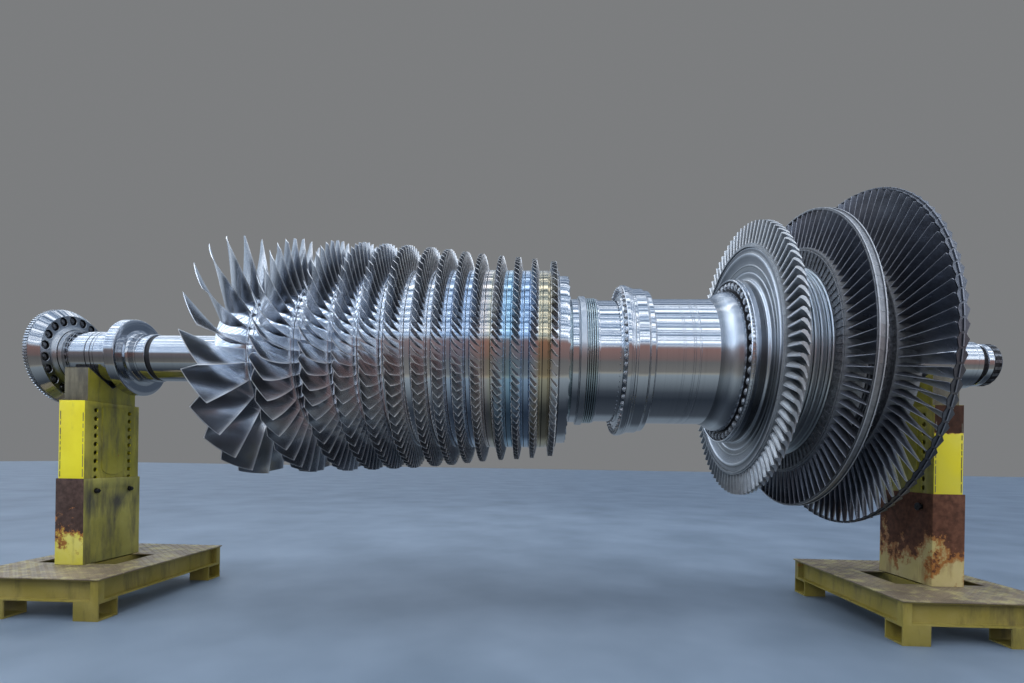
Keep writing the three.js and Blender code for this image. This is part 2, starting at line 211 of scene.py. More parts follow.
def grooved(x0, x1, radius, grooves):
    """Stations of a plain cylinder with grooves (x, width, depth)."""
    stations = [(x0, radius)]
    for x, width, depth in grooves:
        stations += [
            (x - width / 2, radius),
            (x - width / 2 + 0.6, radius - depth),
            (x + width / 2 - 0.6, radius - depth),
            (x + width / 2, radius),
        ]
    return stations + [(x1, radius)]


def drilled_face(shell, x, outer, inner, bolt, count, arc, depth):
    """A flat ring face with round recesses, whose insides take the second material.

    bolt is (circle radius, hole radius); arc is the number of steps round the rim per bolt.
    """
    circle, hole = bolt
    chamfer = 2
    step = 2 * math.pi / count
    for k in range(count):
        start = k * step
        middle = start + step / 2
        rim = [(outer, start + step * i / arc) for i in range(arc + 1)]
        rim += [(outer + (inner - outer) * j / 3, start + step) for j in (1, 2)]
        rim += [(inner, start + step - step * i / arc) for i in range(arc + 1)]
        rim += [(inner + (outer - inner) * j / 3, start) for j in (1, 2)]
        edge = [shell.around(x, r, a) for r, a in rim]
        heading = [
            math.atan2(r * math.sin(a - middle), r * math.cos(a - middle) - circle)
            for r, a in rim
        ]

        def ring(at, radius):
            made = []
            for h in heading:
                across = radius * math.sin(h)
                out = circle + radius * math.cos(h)
                made.append(
                    shell.around(
                        at, math.hypot(out, across), middle + math.atan2(across, out)
                    )
                )
            return made

        lip = ring(x, hole + chamfer)
        wall = ring(x + math.copysign(chamfer, depth), hole)
        floor = ring(x + depth, hole)
        shell.band(edge, lip)
        shell.band(lip, wall)
        shell.band(wall, floor, slot=1)
        shell.face(*floor, slot=1)


def fastener(x, circle, way, flats, height, stud, proud):
    """One hexagon nut with its washer and stud end, standing on the face at x towards way."""
    shell = Shell(axis=0.0)

    def column(sides, levels):
        rings = []
        for depth, radius in levels:
            ring = []
            for k in range(sides):
                a = 2 * math.pi * (k + 0.5) / sides
                ring.append(
                    shell.point(
                        (x + way * depth) * MM,
                        (-circle + radius * math.cos(a)) * MM,
                        radius * math.sin(a) * MM,
                        1.0 if depth > height else 0.0,
                    )
                )
            rings.append(ring)
        shell.stack(rings)

    corner = flats / math.sqrt(3)
    washer = flats * 0.62
    column(12, [(-1, washer), (3, washer)])
    column(6, [(2, corner), (height - 3, corner), (height, corner * 0.86)])
    column(
        8, [(height - 4, stud), (height + proud - 2, stud), (height + proud, stud - 2)]
    )
    return shell


def aerofoil(shell, sections, points):
    """Lofts blade sections from root to tip.

    A section has lead and trail (x, radius), fall (across at both ends), sag (belly of the
    camber line), thick and tail (trailing edge thickness), all in millimetres; it may also give
    a share of painted edge highlight, partly wear.
    """
    rings = []
    share = [0.012, 0.04] + [(i / (points - 2)) ** 1.5 for i in range(1, points - 1)]
    for section in sections:
        x0, r0 = section["lead"]
        x1, r1 = section["trail"]
        s0, s1 = section["fall"]
        sag, thick, tail = section["sag"], section["thick"], section["tail"]
        bright = section.get("wear_and_glint", 0.0)

        def place(c, side):
            chord, drop = x1 - x0, s1 - s0 + 4 * sag * (1 - 2 * c)
            length = math.hypot(chord, drop)
            # sqrt(c) * (1 - c) is 1 / 2.6 where the section is thickest
            half = 0.5 * thick * 2.6 * math.sqrt(c) * (1 - c) + 0.5 * tail * c
            x = x0 + c * chord - side * half * drop / length
            s = s0 + (s1 - s0) * c + 4 * sag * c * (1 - c) + side * half * chord / length
            r = r0 + (r1 - r0) * c
            # Edge points, and whole sections that ask for it, get painted highlight that is partly
            # wear
            edge = 1.0 if c < 0.02 or c > 0.99 else bright
            return shell.around(x, r, s / r, edge)

        upper = [place(c, 1) for c in share]
        lower = [place(c, -1) for c in share]
        rings.append([place(0.0, 0)] + upper + lower[::-1])
    for first, second in zip(rings, rings[1:]):
        shell.band(first, second)
    for ring in (rings[0], rings[-1]):
        upper = ring[1 : points + 1]
        lower = ring[: points : -1]
        shell.face(ring[0], upper[0], lower[0])
        for i in range(points - 1):
            shell.face(upper[i], upper[i + 1], lower[i + 1], lower[i])


def interface_inputs(tree):
    """Input names of a node tree and the identifiers that a modifier stores them under."""
    return {
        item.name: item.identifier
        for item in tree.interface.items_tree
        if item.item_type == "SOCKET" and item.in_out == "INPUT"
    }


def node_tree(label, inputs):
    """A new Geometry Nodes tree with named inputs; returns it with its input and output nodes."""
    tree = bpy.data.node_groups.new(label, "GeometryNodeTree")
    tree.interface.new_socket(
        "Geometry", in_out="INPUT", socket_type="NodeSocketGeometry"
    )
    for name, kind, value in inputs:
        socket = tree.interface.new_socket(name, in_out="INPUT", socket_type=kind)
        if value is not None:
            socket.default_value = value
    tree.interface.new_socket(
        "Geometry", in_out="OUTPUT", socket_type="NodeSocketGeometry"
    )
    return tree, tree.nodes.new("NodeGroupInput"), tree.nodes.new("NodeGroupOutput")


def arithmetic(tree, operation, first, second):
    """A Math node; each value is a number or a socket."""
    node = tree.nodes.new("ShaderNodeMath")
    node.operation = operation
    for socket, value in zip(node.inputs, (first, second)):
        if isinstance(value, (int, float)):
            socket.default_value = value
        else:
            tree.links.new(value, socket)
    return node.outputs[0]


def ring_tree():
    """Repeats the incoming mesh about the rotor axis."""
    label = "Ring about the rotor axis"
    if label in bpy.data.node_groups:
        return bpy.data.node_groups[label]
    tree, given, result = node_tree(
        label,
        (
            ("Count", "NodeSocketInt", 12),
            ("Turn", "NodeSocketFloat", 0.0),
            ("Axis Height", "NodeSocketFloat", AXIS),
            ("Finish", "NodeSocketMaterial", None),
        ),
    )
    links = tree.links
    points = tree.nodes.new("GeometryNodePoints")
    links.new(given.outputs["Count"], points.inputs["Count"])
    height = tree.nodes.new("ShaderNodeCombineXYZ")
    links.new(given.outputs["Axis Height"], height.inputs["Z"])
    links.new(height.outputs[0], points.inputs["Position"])
    index = tree.nodes.new("GeometryNodeInputIndex")
    share = arithmetic(tree, "DIVIDE", index.outputs[0], given.outputs["Count"])
    angle = arithmetic(tree, "MULTIPLY", share, -2 * math.pi)
    angle = arithmetic(tree, "SUBTRACT", angle, given.outputs["Turn"])
    rotation = tree.nodes.new("ShaderNodeCombineXYZ")
    links.new(angle, rotation.inputs["X"])
    spread = tree.nodes.new("GeometryNodeInstanceOnPoints")
    links.new(points.outputs[0], spread.inputs["Points"])
    links.new(given.outputs["Geometry"], spread.inputs["Instance"])
    links.new(rotation.outputs[0], spread.inputs["Rotation"])
    end_tree(tree, spread.outputs[0], given, result)
    return tree


def end_tree(tree, geometry, given, result):
    """Ends a tree in Realize Instances and Set Material."""
    realize = tree.nodes.new("GeometryNodeRealizeInstances")
    tree.links.new(geometry, realize.inputs[0])
    dress = tree.nodes.new("GeometryNodeSetMaterial")
    tree.links.new(realize.outputs[0], dress.inputs["Geometry"])
    tree.links.new(given.outputs["Finish"], dress.inputs["Material"])
    tree.links.new(dress.outputs[0], result.inputs[0])


def grown(obj, tree, values):
    """Runs a Geometry Nodes tree on the object and keeps the result as its plain mesh."""
    modifier = obj.modifiers.new(tree.name, "NODES")
    modifier.node_group = tree
    identifiers = interface_inputs(tree)
    for name, value in values.items():
        modifier[identifiers[name]] = value
    bpy.context.view_layer.update()
    evaluated = obj.evaluated_get(bpy.context.evaluated_depsgraph_get())
    mesh = bpy.data.meshes.new_from_object(evaluated)
    obj.modifiers.clear()
    obj.data = mesh
    return obj


def ring_of(name, shell, count, finish, turn=0.0):
    """Repeats one small shape about the rotor axis."""
    obj = shell.object(name, [finish])
    return grown(
        obj,
        ring_tree(),
        {"Count": count, "Turn": turn, "Axis Height": AXIS, "Finish": finish},
    )


def joined(name, parts):
    """Several objects as one piece."""
    first = parts[0]
    if len(parts) > 1:
        with bpy.context.temp_override(
            active_object=first,
            object=first,
            selected_objects=parts,
            selected_editable_objects=parts,
        ):
            bpy.ops.object.join()
    first.name = name
    first.data.name = name
    return first


def place_piece(obj, slot, *nodes):
    """The piece moves with the one body and stands for its CAD nodes; slot, its finish name, is
    not used.
    """
    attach(obj, BODY)
    if nodes:
        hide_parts(*nodes)


# Finishes


class Pattern:
    """Shader nodes that make a pattern from a place or a direction."""

    def __init__(self, tree, source):
        self.nodes = tree.nodes
        self.links = tree.links
        self.place = self.nodes.new("ShaderNodeTexCoord").outputs[source]

    def node(self, kind, inputs=(), **settings):
        made = self.nodes.new(kind)
        for key, value in settings.items():
            setattr(made, key, value)
        for key, value in dict(inputs).items():
            if isinstance(value, bpy.types.NodeSocket):
                self.links.new(value, made.inputs[key])
            else:
                made.inputs[key].default_value = value
        return made

    def noise(self, scale, detail=4.0, stretch=(1, 1, 1), rough=0.55):
        spot = self.node("ShaderNodeMapping", {"Vector": self.place, "Scale": stretch})
        made = self.node(
            "ShaderNodeTexNoise",
            {
                "Vector": spot.outputs[0],
                "Scale": scale,
                "Detail": detail,
                "Roughness": rough,
            },
        )
        return made.outputs[0]

    def axis(self, name):
        """One coordinate in metres: X, Y or Z."""
        return self.node(
            "ShaderNodeSeparateXYZ", {"Vector": self.place}
        ).outputs[name]

    def radius(self):
        """Distance from the rotor axis in metres."""
        across = self.node(
            "ShaderNodeVectorMath", {0: self.place, 1: (0, 0, -AXIS)}, operation="ADD"
        )
        flat = self.node(
            "ShaderNodeVectorMath", {0: across.outputs[0], 1: (0, 1, 1)}, operation="MULTIPLY"
        )
        return self.node(
            "ShaderNodeVectorMath", {0: flat.outputs[0]}, operation="LENGTH"
        ).outputs["Value"]

    def lines(self, scale, detail=3.0, along=None):
        """Fine turning lines that change along the rotor axis only, or along another value."""
        made = self.node(
            "ShaderNodeTexNoise",
            {"W": along or self.axis("X"), "Scale": scale, "Detail": detail},
            noise_dimensions="1D",
        )
        return made.outputs[0]

    def ramp(self, value, stops):
        made = self.node("ShaderNodeValToRGB", {"Fac": value})
        made.color_ramp.elements[0].position = stops[0][0]
        made.color_ramp.elements[1].position = stops[-1][0]
        for position, _ in stops[1:-1]:
            made.color_ramp.elements.new(position)
        for element, (_, colour) in zip(made.color_ramp.elements, stops):
            element.color = (*colour, 1)
        return made.outputs[0]

    def mask(self, value, low, high):
        """0 below low and 1 above high."""
        return self.node(
            "ShaderNodeMapRange",
            {"Value": value, "From Min": low, "From Max": high},
        ).outputs[0]

    def blend(self, share, first, second, mode="MIX"):
        made = self.node("ShaderNodeMix", data_type="RGBA", blend_type=mode)
        for index, value in ((0, share), (6, first), (7, second)):
            if isinstance(value, bpy.types.NodeSocket):
                self.links.new(value, made.inputs[index])
            elif index == 0:
                made.inputs[index].default_value = value
            else:
                made.inputs[index].default_value = (*value, 1)
        return made.outputs[2]

    def math(self, operation, first, second, clamp=True):
        made = self.nodes.new("ShaderNodeMath")
        made.operation = operation
        made.use_clamp = clamp
        for socket, value in zip(made.inputs, (first, second)):
            if isinstance(value, bpy.types.NodeSocket):
                self.links.new(value, socket)
            else:
                socket.default_value = value
        return made.outputs[0]


class Finish(Pattern):
    """The nodes of one material: a shader and the patterns that feed it."""

    def __init__(self, name, metallic, roughness):
        self.material = bpy.data.materials.new(name)
        self.material.use_nodes = True
        super().__init__(self.material.node_tree, "Object")
        self.shader = self.nodes["Principled BSDF"]
        self.shader.inputs["Metallic"].default_value = metallic
        self.shader.inputs["Roughness"].default_value = roughness

    def attribute(self, name):
        return self.node("ShaderNodeAttribute", attribute_name=name).outputs["Fac"]

    def set(self, socket, value):
        self.links.new(value, self.shader.inputs[socket])

    def roughness(self, value, ends, between=(0.3, 0.7)):
        """Roughness that runs from one end to the other while the value crosses a range."""
        made = self.node(
            "ShaderNodeMapRange",
            {
                "Value": value,
                "From Min": between[0],
                "From Max": between[1],
                "To Min": ends[0],
                "To Max": ends[1],
            },
        )
        self.set("Roughness", made.outputs[0])

    def bump(self, height, strength, distance):
        made = self.node(
            "ShaderNodeBump",
            {"Height": height, "Strength": strength, "Distance": distance},
        )
        self.set("Normal", made.outputs[0])

    def turned_grain(self, amount):
        """Highlights spread across the turning marks, as on ground shafts."""
        self.shader.inputs["Anisotropic"].default_value = amount
        self.shader.inputs["Anisotropic Rotation"].default_value = 0.25
        tangent = self.node(
            "ShaderNodeTangent", direction_type="RADIAL", axis="X"
        )
        self.links.new(tangent.outputs[0], self.shader.inputs["Tangent"])


def turned_steel(
    name,
    dark,
    light,
    rough,
    grain,
    depth=0.00004,
    painted_light_by_station=None,
    rings=None,
    smears=0.4,
    ridge=0.5,
):
    """Turned steel with fine rings and smears, and painted light and shade bands by station, or by
    radius on a wheel face.
    """
    made = Finish(name, 1.0, rough[0])
    along = made.radius() if rings else made.axis("X")
    smear = made.noise(3.5, 5.0)
    lines = made.lines(260.0, 4.0, along)
    wide = made.lines(34.0, 2.0, along)
    tone = made.math("MULTIPLY", made.math("ADD", lines, wide), 0.5)
    tone = made.math(
        "ADD", made.math("MULTIPLY", tone, 1.0 - smears), made.math("MULTIPLY", smear, smears)
    )
    colour = made.ramp(tone, ((0.3, dark), (0.68, light)))
    # Bands of painted highlight, shade and reflection tint, along the axis or across the wheel
    # face
    if painted_light_by_station or rings:
        low, high, stops = painted_light_by_station or rings
        stops = tuple(((place - low) / (high - low), tint) for place, tint in stops)
        band = made.ramp(made.mask(along, low, high), stops)
        colour = made.blend(1.0, colour, band, "MULTIPLY")
    made.set("Base Color", colour)
    made.roughness(tone, rough)
    made.bump(lines, ridge, depth)
    made.turned_grain(grain)
    return made.material


def blade_steel(name, dark, light, edge, rough, wear_and_glint_share, blotch=7.0, metal=1.0):
    """Blade metal with stains; its edges and tips get a painted highlight that is partly wear."""
    made = Finish(name, metal, rough[0])
    stain = made.noise(blotch, 6.0, rough=0.62)
    fine = made.noise(60.0, 3.0, (0.4, 1, 1))
    tone = made.math("ADD", made.math("MULTIPLY", stain, 0.75), made.math("MULTIPLY", fine, 0.25))
    colour = made.ramp(tone, ((0.32, dark), (0.66, light)))
    # Painted highlight on edges and tips, partly real wear: the edge colour there, and less metal
    wear_and_glint = made.math("POWER", made.attribute("wear_and_glint"), 2.2)
    edge_wear_and_glint = made.math("MULTIPLY", wear_and_glint, wear_and_glint_share)
    colour = made.blend(edge_wear_and_glint, colour, edge)
    made.set("Base Color", colour)
    made.set("Metallic", made.math("SUBTRACT", metal, made.math("MULTIPLY", edge_wear_and_glint, 0.5 * metal)))
    made.roughness(tone, rough[::-1])
    made.bump(fine, 0.15, 0.0001)
    return made.material


def painted(
    name, paint, faded, dirt, rust, amounts, rust_above=None, rim_width=0.03, smudge=None
):
    """Old paint with faded patches, grime in streaks, and rust with orange rims.

    amounts is (dirt, rust). rust_above is (height where more rust starts, height where it is
    full, how much more). smudge is (where more grime starts, is full, fades, ends, how much).
    """
    made = Finish(name, 0.0, 0.5)
    made.shader.inputs["Specular IOR Level"].default_value = 0.3
    dirty, rusted = amounts
    orange = (0.3, 0.12, 0.03)
    broad = made.noise(2.6, 6.0, rough=0.6)
    streak = made.noise(9.0, 6.0, (1, 1, 0.22), 0.65)
    blotch = made.noise(6.5, 8.0, (1, 1, 0.8), 0.6)
    speck = made.noise(38.0, 5.0, rough=0.7)
    colour = made.ramp(broad, ((0.38, paint), (0.66, faded)))
    if smudge is not None:
        start, full, fading, end, more = smudge
        low = made.mask(made.axis("Z"), start, full)
        high = made.mask(made.axis("Z"), end, fading)
        near = made.math("MULTIPLY", low, high)
        streak = made.math("ADD", streak, made.math("MULTIPLY", near, more))
    grime = made.mask(streak, 0.66 - 0.3 * dirty, 0.9 - 0.25 * dirty)
    colour = made.blend(grime, colour, dirt)
    patchy = made.math("MULTIPLY", made.math("ADD", broad, speck), 0.25)
    patchy = made.math("ADD", patchy, made.math("MULTIPLY", blotch, 0.5))
    if rust_above is not None:
        start, full, more = rust_above
        climb = made.mask(made.axis("Z"), start, full)
        patchy = made.math("ADD", patchy, made.math("MULTIPLY", climb, more))
    limit = 0.72 - 0.22 * rusted
    rim = made.mask(patchy, limit - rim_width, limit - 0.3 * rim_width)
    colour = made.blend(rim, colour, orange)
    eaten = made.mask(patchy, limit, limit + 0.012)
    rusty = made.ramp(
        made.noise(24.0, 5.0), ((0.35, tuple(0.5 * c for c in rust)), (0.65, rust))
    )
    colour = made.blend(eaten, colour, rusty)
    made.set("Base Color", colour)
    made.roughness(eaten, (0.42, 0.85), between=(0.0, 1.0))
    made.bump(made.math("SUBTRACT", speck, made.math("MULTIPLY", eaten, 0.5)), 0.5, 0.0012)
    return made.material


def plain_surface(name, low, high, metallic, roughness, scale):
    """A mottled surface for small pieces."""
    made = Finish(name, metallic, roughness)
    pattern = made.noise(scale, 5.0)
    made.set("Base Color", made.ramp(pattern, ((0.35, low), (0.66, high))))
    made.bump(pattern, 0.5, 0.0006)
    return made.material


FINISHES = {}


def finishes(context):
    """Makes the materials once, from the colours in the sidebar."""
    if FINISHES:
        return FINISHES
    colours = context.scene.rotor_finishes
    polished = tuple(colours.polished)
    satin = tuple(colours.satin)
    blade = tuple(colours.blade)
    bucket = tuple(colours.bucket)
    oxide = tuple(colours.oxide)
    yellow = tuple(colours.yellow)
    rust = tuple(colours.rust)

    def shade(colour, by):
        return tuple(min(1.0, c * by) for c in colour)

    FINISHES.update(
        polished=turned_steel(
            "polished_shaft",
            shade(polished, 0.82),
            shade(polished, 1.02),
            (0.05, 0.12),
            grain=0.3,
            smears=0.25,
            ridge=0.12,
        ),
        journal=turned_steel(
            "ground_journal",
            shade(polished, 0.64),
            shade(polished, 0.86),
            (0.07, 0.15),
            grain=0.4,
            smears=0.25,
            ridge=0.12,
        ),
        flange=turned_steel(
            "toothed_flange_steel",
            shade(satin, 0.6),
            shade(satin, 0.88),
            (0.24, 0.36),
            grain=0.5,
        ),
        drum=turned_steel(
            "polished_drum",
            shade(polished, 0.92),
            shade(polished, 1.18),
            (0.06, 0.13),
            grain=0.3,
            smears=0.25,
            ridge=0.12,
            # Painted reflection tints: blue and brown bands along the drum
            painted_light_by_station=(
                -0.9,
                0.5,
                (
                    (-0.9, (1.0, 1.0, 1.0)),
                    (-0.48, (1.0, 1.0, 1.0)),
                    (-0.37, (0.82, 0.9, 1.0)),
                    (-0.2, (0.74, 0.86, 1.0)),
                    (-0.12, (0.9, 0.86, 0.84)),
                    (-0.06, (0.95, 0.82, 0.72)),
                    (-0.03, (0.95, 0.86, 0.66)),
                    (0.0, (0.86, 0.84, 0.84)),
                    (0.04, (0.72, 0.88, 1.0)),
                    (0.12, (0.6, 0.86, 0.98)),
                    (0.2, (0.64, 0.82, 1.0)),
                    (0.28, (0.66, 0.8, 0.98)),
                    (0.32, (0.86, 0.86, 0.84)),
                    (0.345, (0.92, 0.78, 0.52)),
                    (0.42, (0.84, 0.7, 0.46)),
                    (0.45, (1.0, 1.0, 1.0)),
                    (0.5, (1.0, 1.0, 1.0)),
                ),
            ),
        ),
        satin=turned_steel(
            "satin_steel",
            shade(satin, 0.85),
            shade(satin, 1.1),
            (0.26, 0.38),
            grain=0.5,
        ),
        bell=turned_steel(
            "flared_shaft_steel",
            shade(satin, 0.9),
            shade(satin, 1.1),
            (0.2, 0.28),
            grain=0.4,
            # Painted shade where the bell leaves the tube, and painted highlight bands on its
            # curve and edge
            painted_light_by_station=(
                1.74,
                1.92,
                (
                    (1.74, (0.45, 0.46, 0.48)),
                    (1.765, (0.5, 0.52, 0.54)),
                    (1.79, (0.85, 0.86, 0.88)),
                    (1.825, (1.3, 1.3, 1.3)),
                    (1.85, (1.05, 1.05, 1.06)),
                    (1.88, (0.72, 0.73, 0.76)),
                    (1.9, (0.8, 0.82, 0.85)),
                    (1.908, (1.3, 1.32, 1.35)),
                    (1.92, (1.3, 1.32, 1.35)),
                ),
            ),
            smears=0.1,
        ),
        seal=turned_steel(
            "grey_seal_rings",
            (0.36, 0.44, 0.47),
            (0.56, 0.64, 0.67),
            (0.2, 0.32),
            grain=0.5,
        ),
        wheel=turned_steel(
            "turned_wheel",
            shade(satin, 1.15),
            shade(satin, 1.7),
            (0.24, 0.38),
            grain=0.5,
            depth=0.0001,
        ),
        first_face=turned_steel(
            "ringed_wheel_face",
            shade(satin, 0.64),
            shade(satin, 1.1),
            (0.24, 0.36),
            grain=0.6,
            depth=0.0001,
            # Painted highlight rings and shade bands across the wheel face
            rings=(
                0.66,
                0.96,
                (
                    (0.66, (0.4, 0.4, 0.4)),
                    (0.68, (0.35, 0.35, 0.36)),
                    (0.685, (1.5, 1.5, 1.5)),
                    (0.693, (1.4, 1.4, 1.4)),
                    (0.698, (0.6, 0.6, 0.6)),
                    (0.72, (0.45, 0.45, 0.45)),
                    (0.735, (0.7, 0.7, 0.7)),
                    (0.741, (1.3, 1.3, 1.3)),
                    (0.75, (1.2, 1.2, 1.2)),
                    (0.756, (0.55, 0.55, 0.55)),
                    (0.79, (0.62, 0.62, 0.6)),
                    (0.8, (0.9, 0.9, 0.88)),
                    (0.806, (0.6, 0.6, 0.6)),
                    (0.862, (0.6, 0.61, 0.63)),
                    (0.873, (1.3, 1.3, 1.3)),
                    (0.888, (1.3, 1.3, 1.3)),
                    (0.894, (0.5, 0.5, 0.5)),
                    (0.92, (0.45, 0.45, 0.46)),
                    (0.928, (0.9, 0.9, 0.9)),
                    (0.96, (1.1, 1.1, 1.1)),
                ),
            ),
        ),
        blade=blade_steel(
            "compressor_blade_steel",
            shade(blade, 0.58),
            shade(blade, 1.0),
            (0.92, 0.94, 0.97),
            (0.16, 0.28),
            wear_and_glint_share=0.9,
            blotch=2.4,
            metal=0.94,
        ),
        small_blade=blade_steel(
            "late_row_blade_steel",
            shade(blade, 0.32),
            shade(blade, 0.64),
            (1.0, 1.0, 1.0),
            (0.2, 0.32),
            wear_and_glint_share=1.0,
            blotch=5.0,
            metal=0.9,
        ),
        bucket=blade_steel(
            "first_row_bucket_steel",
            shade(bucket, 0.5),
            shade(bucket, 0.88),
            (0.88, 0.9, 0.93),
            (0.32, 0.46),
            wear_and_glint_share=0.6,
            metal=0.66,
        ),
        oxide=blade_steel(
            "dark_bucket_oxide",
            shade(oxide, 0.55),
            shade(oxide, 1.2),
            (0.62, 0.64, 0.7),
            (0.24, 0.4),
            wear_and_glint_share=0.5,
            blotch=9.0,
            metal=0.6,
        ),
        shroud=blade_steel(
            "scuffed_shroud_steel",
            (0.04, 0.04, 0.046),
            (0.2, 0.205, 0.22),
            (0.6, 0.62, 0.65),
            (0.3, 0.5),
            wear_and_glint_share=0.7,
            blotch=26.0,
        ),
        tip=blade_steel(
            "dark_tip_covers",
            (0.018, 0.019, 0.023),
            (0.085, 0.09, 0.105),
            (0.42, 0.45, 0.52),
            (0.26, 0.42),
            wear_and_glint_share=0.5,
            blotch=26.0,
        ),
        root=blade_steel(
            "bucket_root_steel",
            (0.07, 0.074, 0.084),
            (0.27, 0.28, 0.3),
            (0.85, 0.86, 0.88),
            (0.3, 0.46),
            wear_and_glint_share=0.6,
            blotch=34.0,
            metal=0.7,
        ),
        # Black steel for pins and joint lines, also used as painted shade in grooves and recesses
        black=plain_surface(
            "blackened_steel", (0.01, 0.01, 0.012), (0.04, 0.04, 0.045), 0.7, 0.45, 50
        ),
        bolt=plain_surface(
            "bolt_steel", (0.3, 0.31, 0.33), (0.62, 0.65, 0.69), 0.8, 0.36, 45
        ),
        dark_bolt=plain_surface(
            "dark_bolt_steel", (0.06, 0.062, 0.07), (0.2, 0.21, 0.23), 0.8, 0.34, 45
        ),
        tape=plain_surface(
            "black_band", (0.008, 0.008, 0.01), (0.02, 0.02, 0.024), 0.0, 0.5, 80
        ),
        liner=plain_surface(
            "liner_pad", (0.02, 0.02, 0.022), (0.05, 0.05, 0.055), 0.0, 0.75, 60
        ),
        frame=painted(
            "skid_paint",
            (0.21, 0.168, 0.026),
            (0.27, 0.22, 0.06),
            (0.08, 0.062, 0.025),
            rust,
            (0.5, 0.46),
        ),
        bright=painted(
            "bright_yellow_paint",
            yellow,
            (0.75, 0.66, 0.03),
            (0.3, 0.27, 0.06),
            rust,
            (0.05, 0.3),
        ),
        capped=painted(
            "yellow_under_brown_paint",
            yellow,
            (0.62, 0.54, 0.05),
            (0.2, 0.16, 0.05),
            shade(rust, 0.45),
            (0.2, 0.3),
            rust_above=(1.52, 1.62, 0.5),
        ),
        olive=painted(
            "dirty_yellow_paint",
            (0.29, 0.26, 0.03),
            (0.4, 0.35, 0.06),
            (0.085, 0.078, 0.05),
            rust,
            (0.62, 0.42),
        ),
        grimy=painted(
            "grimy_sleeve_paint",
            (0.27, 0.25, 0.055),
            (0.38, 0.35, 0.1),
            (0.075, 0.07, 0.05),
            rust,
            (0.6, 0.42),
            smudge=(0.7, 0.82, 0.88, 1.04, 0.15),
        ),
        stained=painted(
            "stained_steel_face",
            (0.12, 0.11, 0.085),
            (0.21, 0.19, 0.13),
            (0.06, 0.055, 0.045),
            shade(rust, 0.6),
            (0.8, 0.45),
        ),
        rusted=painted(
            "rusted_post_paint",
            (0.64, 0.58, 0.07),
            (0.7, 0.64, 0.22),
            (0.3, 0.25, 0.08),
            (0.085, 0.052, 0.042),
            (0.25, 0.34),
            rust_above=(0.3, 1.0, 0.34),
            rim_width=0.055,
        ),
        brown=painted(
            "brown_rusted_post_paint",
            (0.44, 0.36, 0.14),
            (0.54, 0.45, 0.22),
            (0.22, 0.13, 0.055),
            shade(rust, 1.15),
            (0.55, 0.42),
            rust_above=(0.25, 1.0, 0.3),
            rim_width=0.05,
        ),
        tread=painted(
            "worn_tread_plate",
            (0.12, 0.092, 0.062),
            (0.21, 0.165, 0.11),
            (0.42, 0.37, 0.16),
            rust,
            (0.6, 0.35),
        ),
    )
    return FINISHES


# Rotor measurements in millimetres

# One entry per stage: blade count, angle of the first blade, rim stations with the next
# wheel's, their radii, blade tip stations, tip radius, and the blade's angle from the axis
# at root and tip
COMPRESSOR = (
    (23, -0.0995, (-2318, -1980, -1905), (458, 556, 586), (-2209, -2070), 1025, (0.45, 1.07)),
    (40, 0.07, (-1905, -1575, -1489), (586, 652, 670), (-1718, -1625), 1003, (0.56, 1.055)),
    (52, 0.013, (-1489, -1261, -1226), (670, 714, 721), (-1369, -1306), 988, (0.67, 1.045)),
    (60, 0.051, (-1226, -1061, -1026), (721, 739, 742), (-1135, -1082), 975, (0.7, 0.97)),
    (69, 0.025, (-1026, -869, -829), (742, 750, 752), (-947, -896), 963, (0.74, 0.965)),
    (73, 0.003, (-829, -695, -625), (752, 755, 756), (-769, -722), 952, (0.74, 0.9)),
    (78, -0.013, (-625, -514, -469), (756, 757, 758), (-576, -534), 935, (0.74, 0.9)),
    (81, 0.017, (-469, -373, -320), (758, 758, 759), (-430, -390), 921, (0.74, 0.94)),
    (84, -0.025, (-320, -224, -179), (759, 759, 759), (-287, -254), 902, (0.74, 0.97)),
    (89, 0.009, (-179, -90, -23), (759, 759, 758), (-153, -120), 886, (0.74, 0.87)),
    (87, -0.015, (-23, 74, 127), (758, 757, 757), (11, 39), 870, (0.74, 0.94)),
    (84, 0.02, (127, 208, 267), (757, 756, 755), (145, 183), 860, (0.74, 0.87)),
    (85, 0.0, (267, 342, 424), (755, 754, 753), (280, 314), 847, (0.74, 0.94)),
    (66, 0.0, (424, 491, 496), (752, 751, 751), (436, 476), 828, (0.74, 0.87)),
)


def compressor_sections(stage, steps):
    """Blade sections of one compressor row, from just inside the rim to the tip."""
    _, _, rim, radii, tip, tip_radius, (root_lean, tip_lean) = stage
    levels = [-0.05, 0.0, 0.03] + [i / steps for i in range(1, steps)] + [0.985, 1.0]
    sections = []
    for level in levels:
        t = max(level, 0.0)
        x0 = rim[0] + (tip[0] - rim[0]) * t
        x1 = rim[1] + (tip[1] - rim[1]) * t
        r0 = radii[0] + (tip_radius - radii[0]) * t
        r1 = radii[1] + (tip_radius - radii[1]) * t
        margin = 0.06 * (rim[1] - rim[0]) * (1 - t)
        x0, x1 = x0 + margin, x1 - margin
        chord = x1 - x0
        fall = 0.5 * chord * math.tan(root_lean + (tip_lean - root_lean) * t)
        sunk = 12.0 if level < 0 else 0.0
        foot = 1.45 if level <= 0 else 1.0
        sections.append(
            {
                "lead": (x0, r0 - sunk),
                "trail": (x1, r1 - sunk),
                "fall": (fall, -fall),
                "sag": -(0.085 - 0.035 * t) * math.hypot(chord, 2 * fall),
                "thick": (0.105 - 0.07 * t) * chord * foot + 1.2,
                "tail": 1.4 + 1.2 * (1 - t),
                # Painted highlight, partly wear, along the tip and along the root
                "wear_and_glint": 0.85 if level >= 0.999 else 0.7 if level <= 0 else 0.0,
            }
        )
    return sections


def drum_seam(stage):
    """Station of the joint line in the bare band behind a row."""
    back, after = stage[2][1:]
    return back + 0.3 * (after - back)


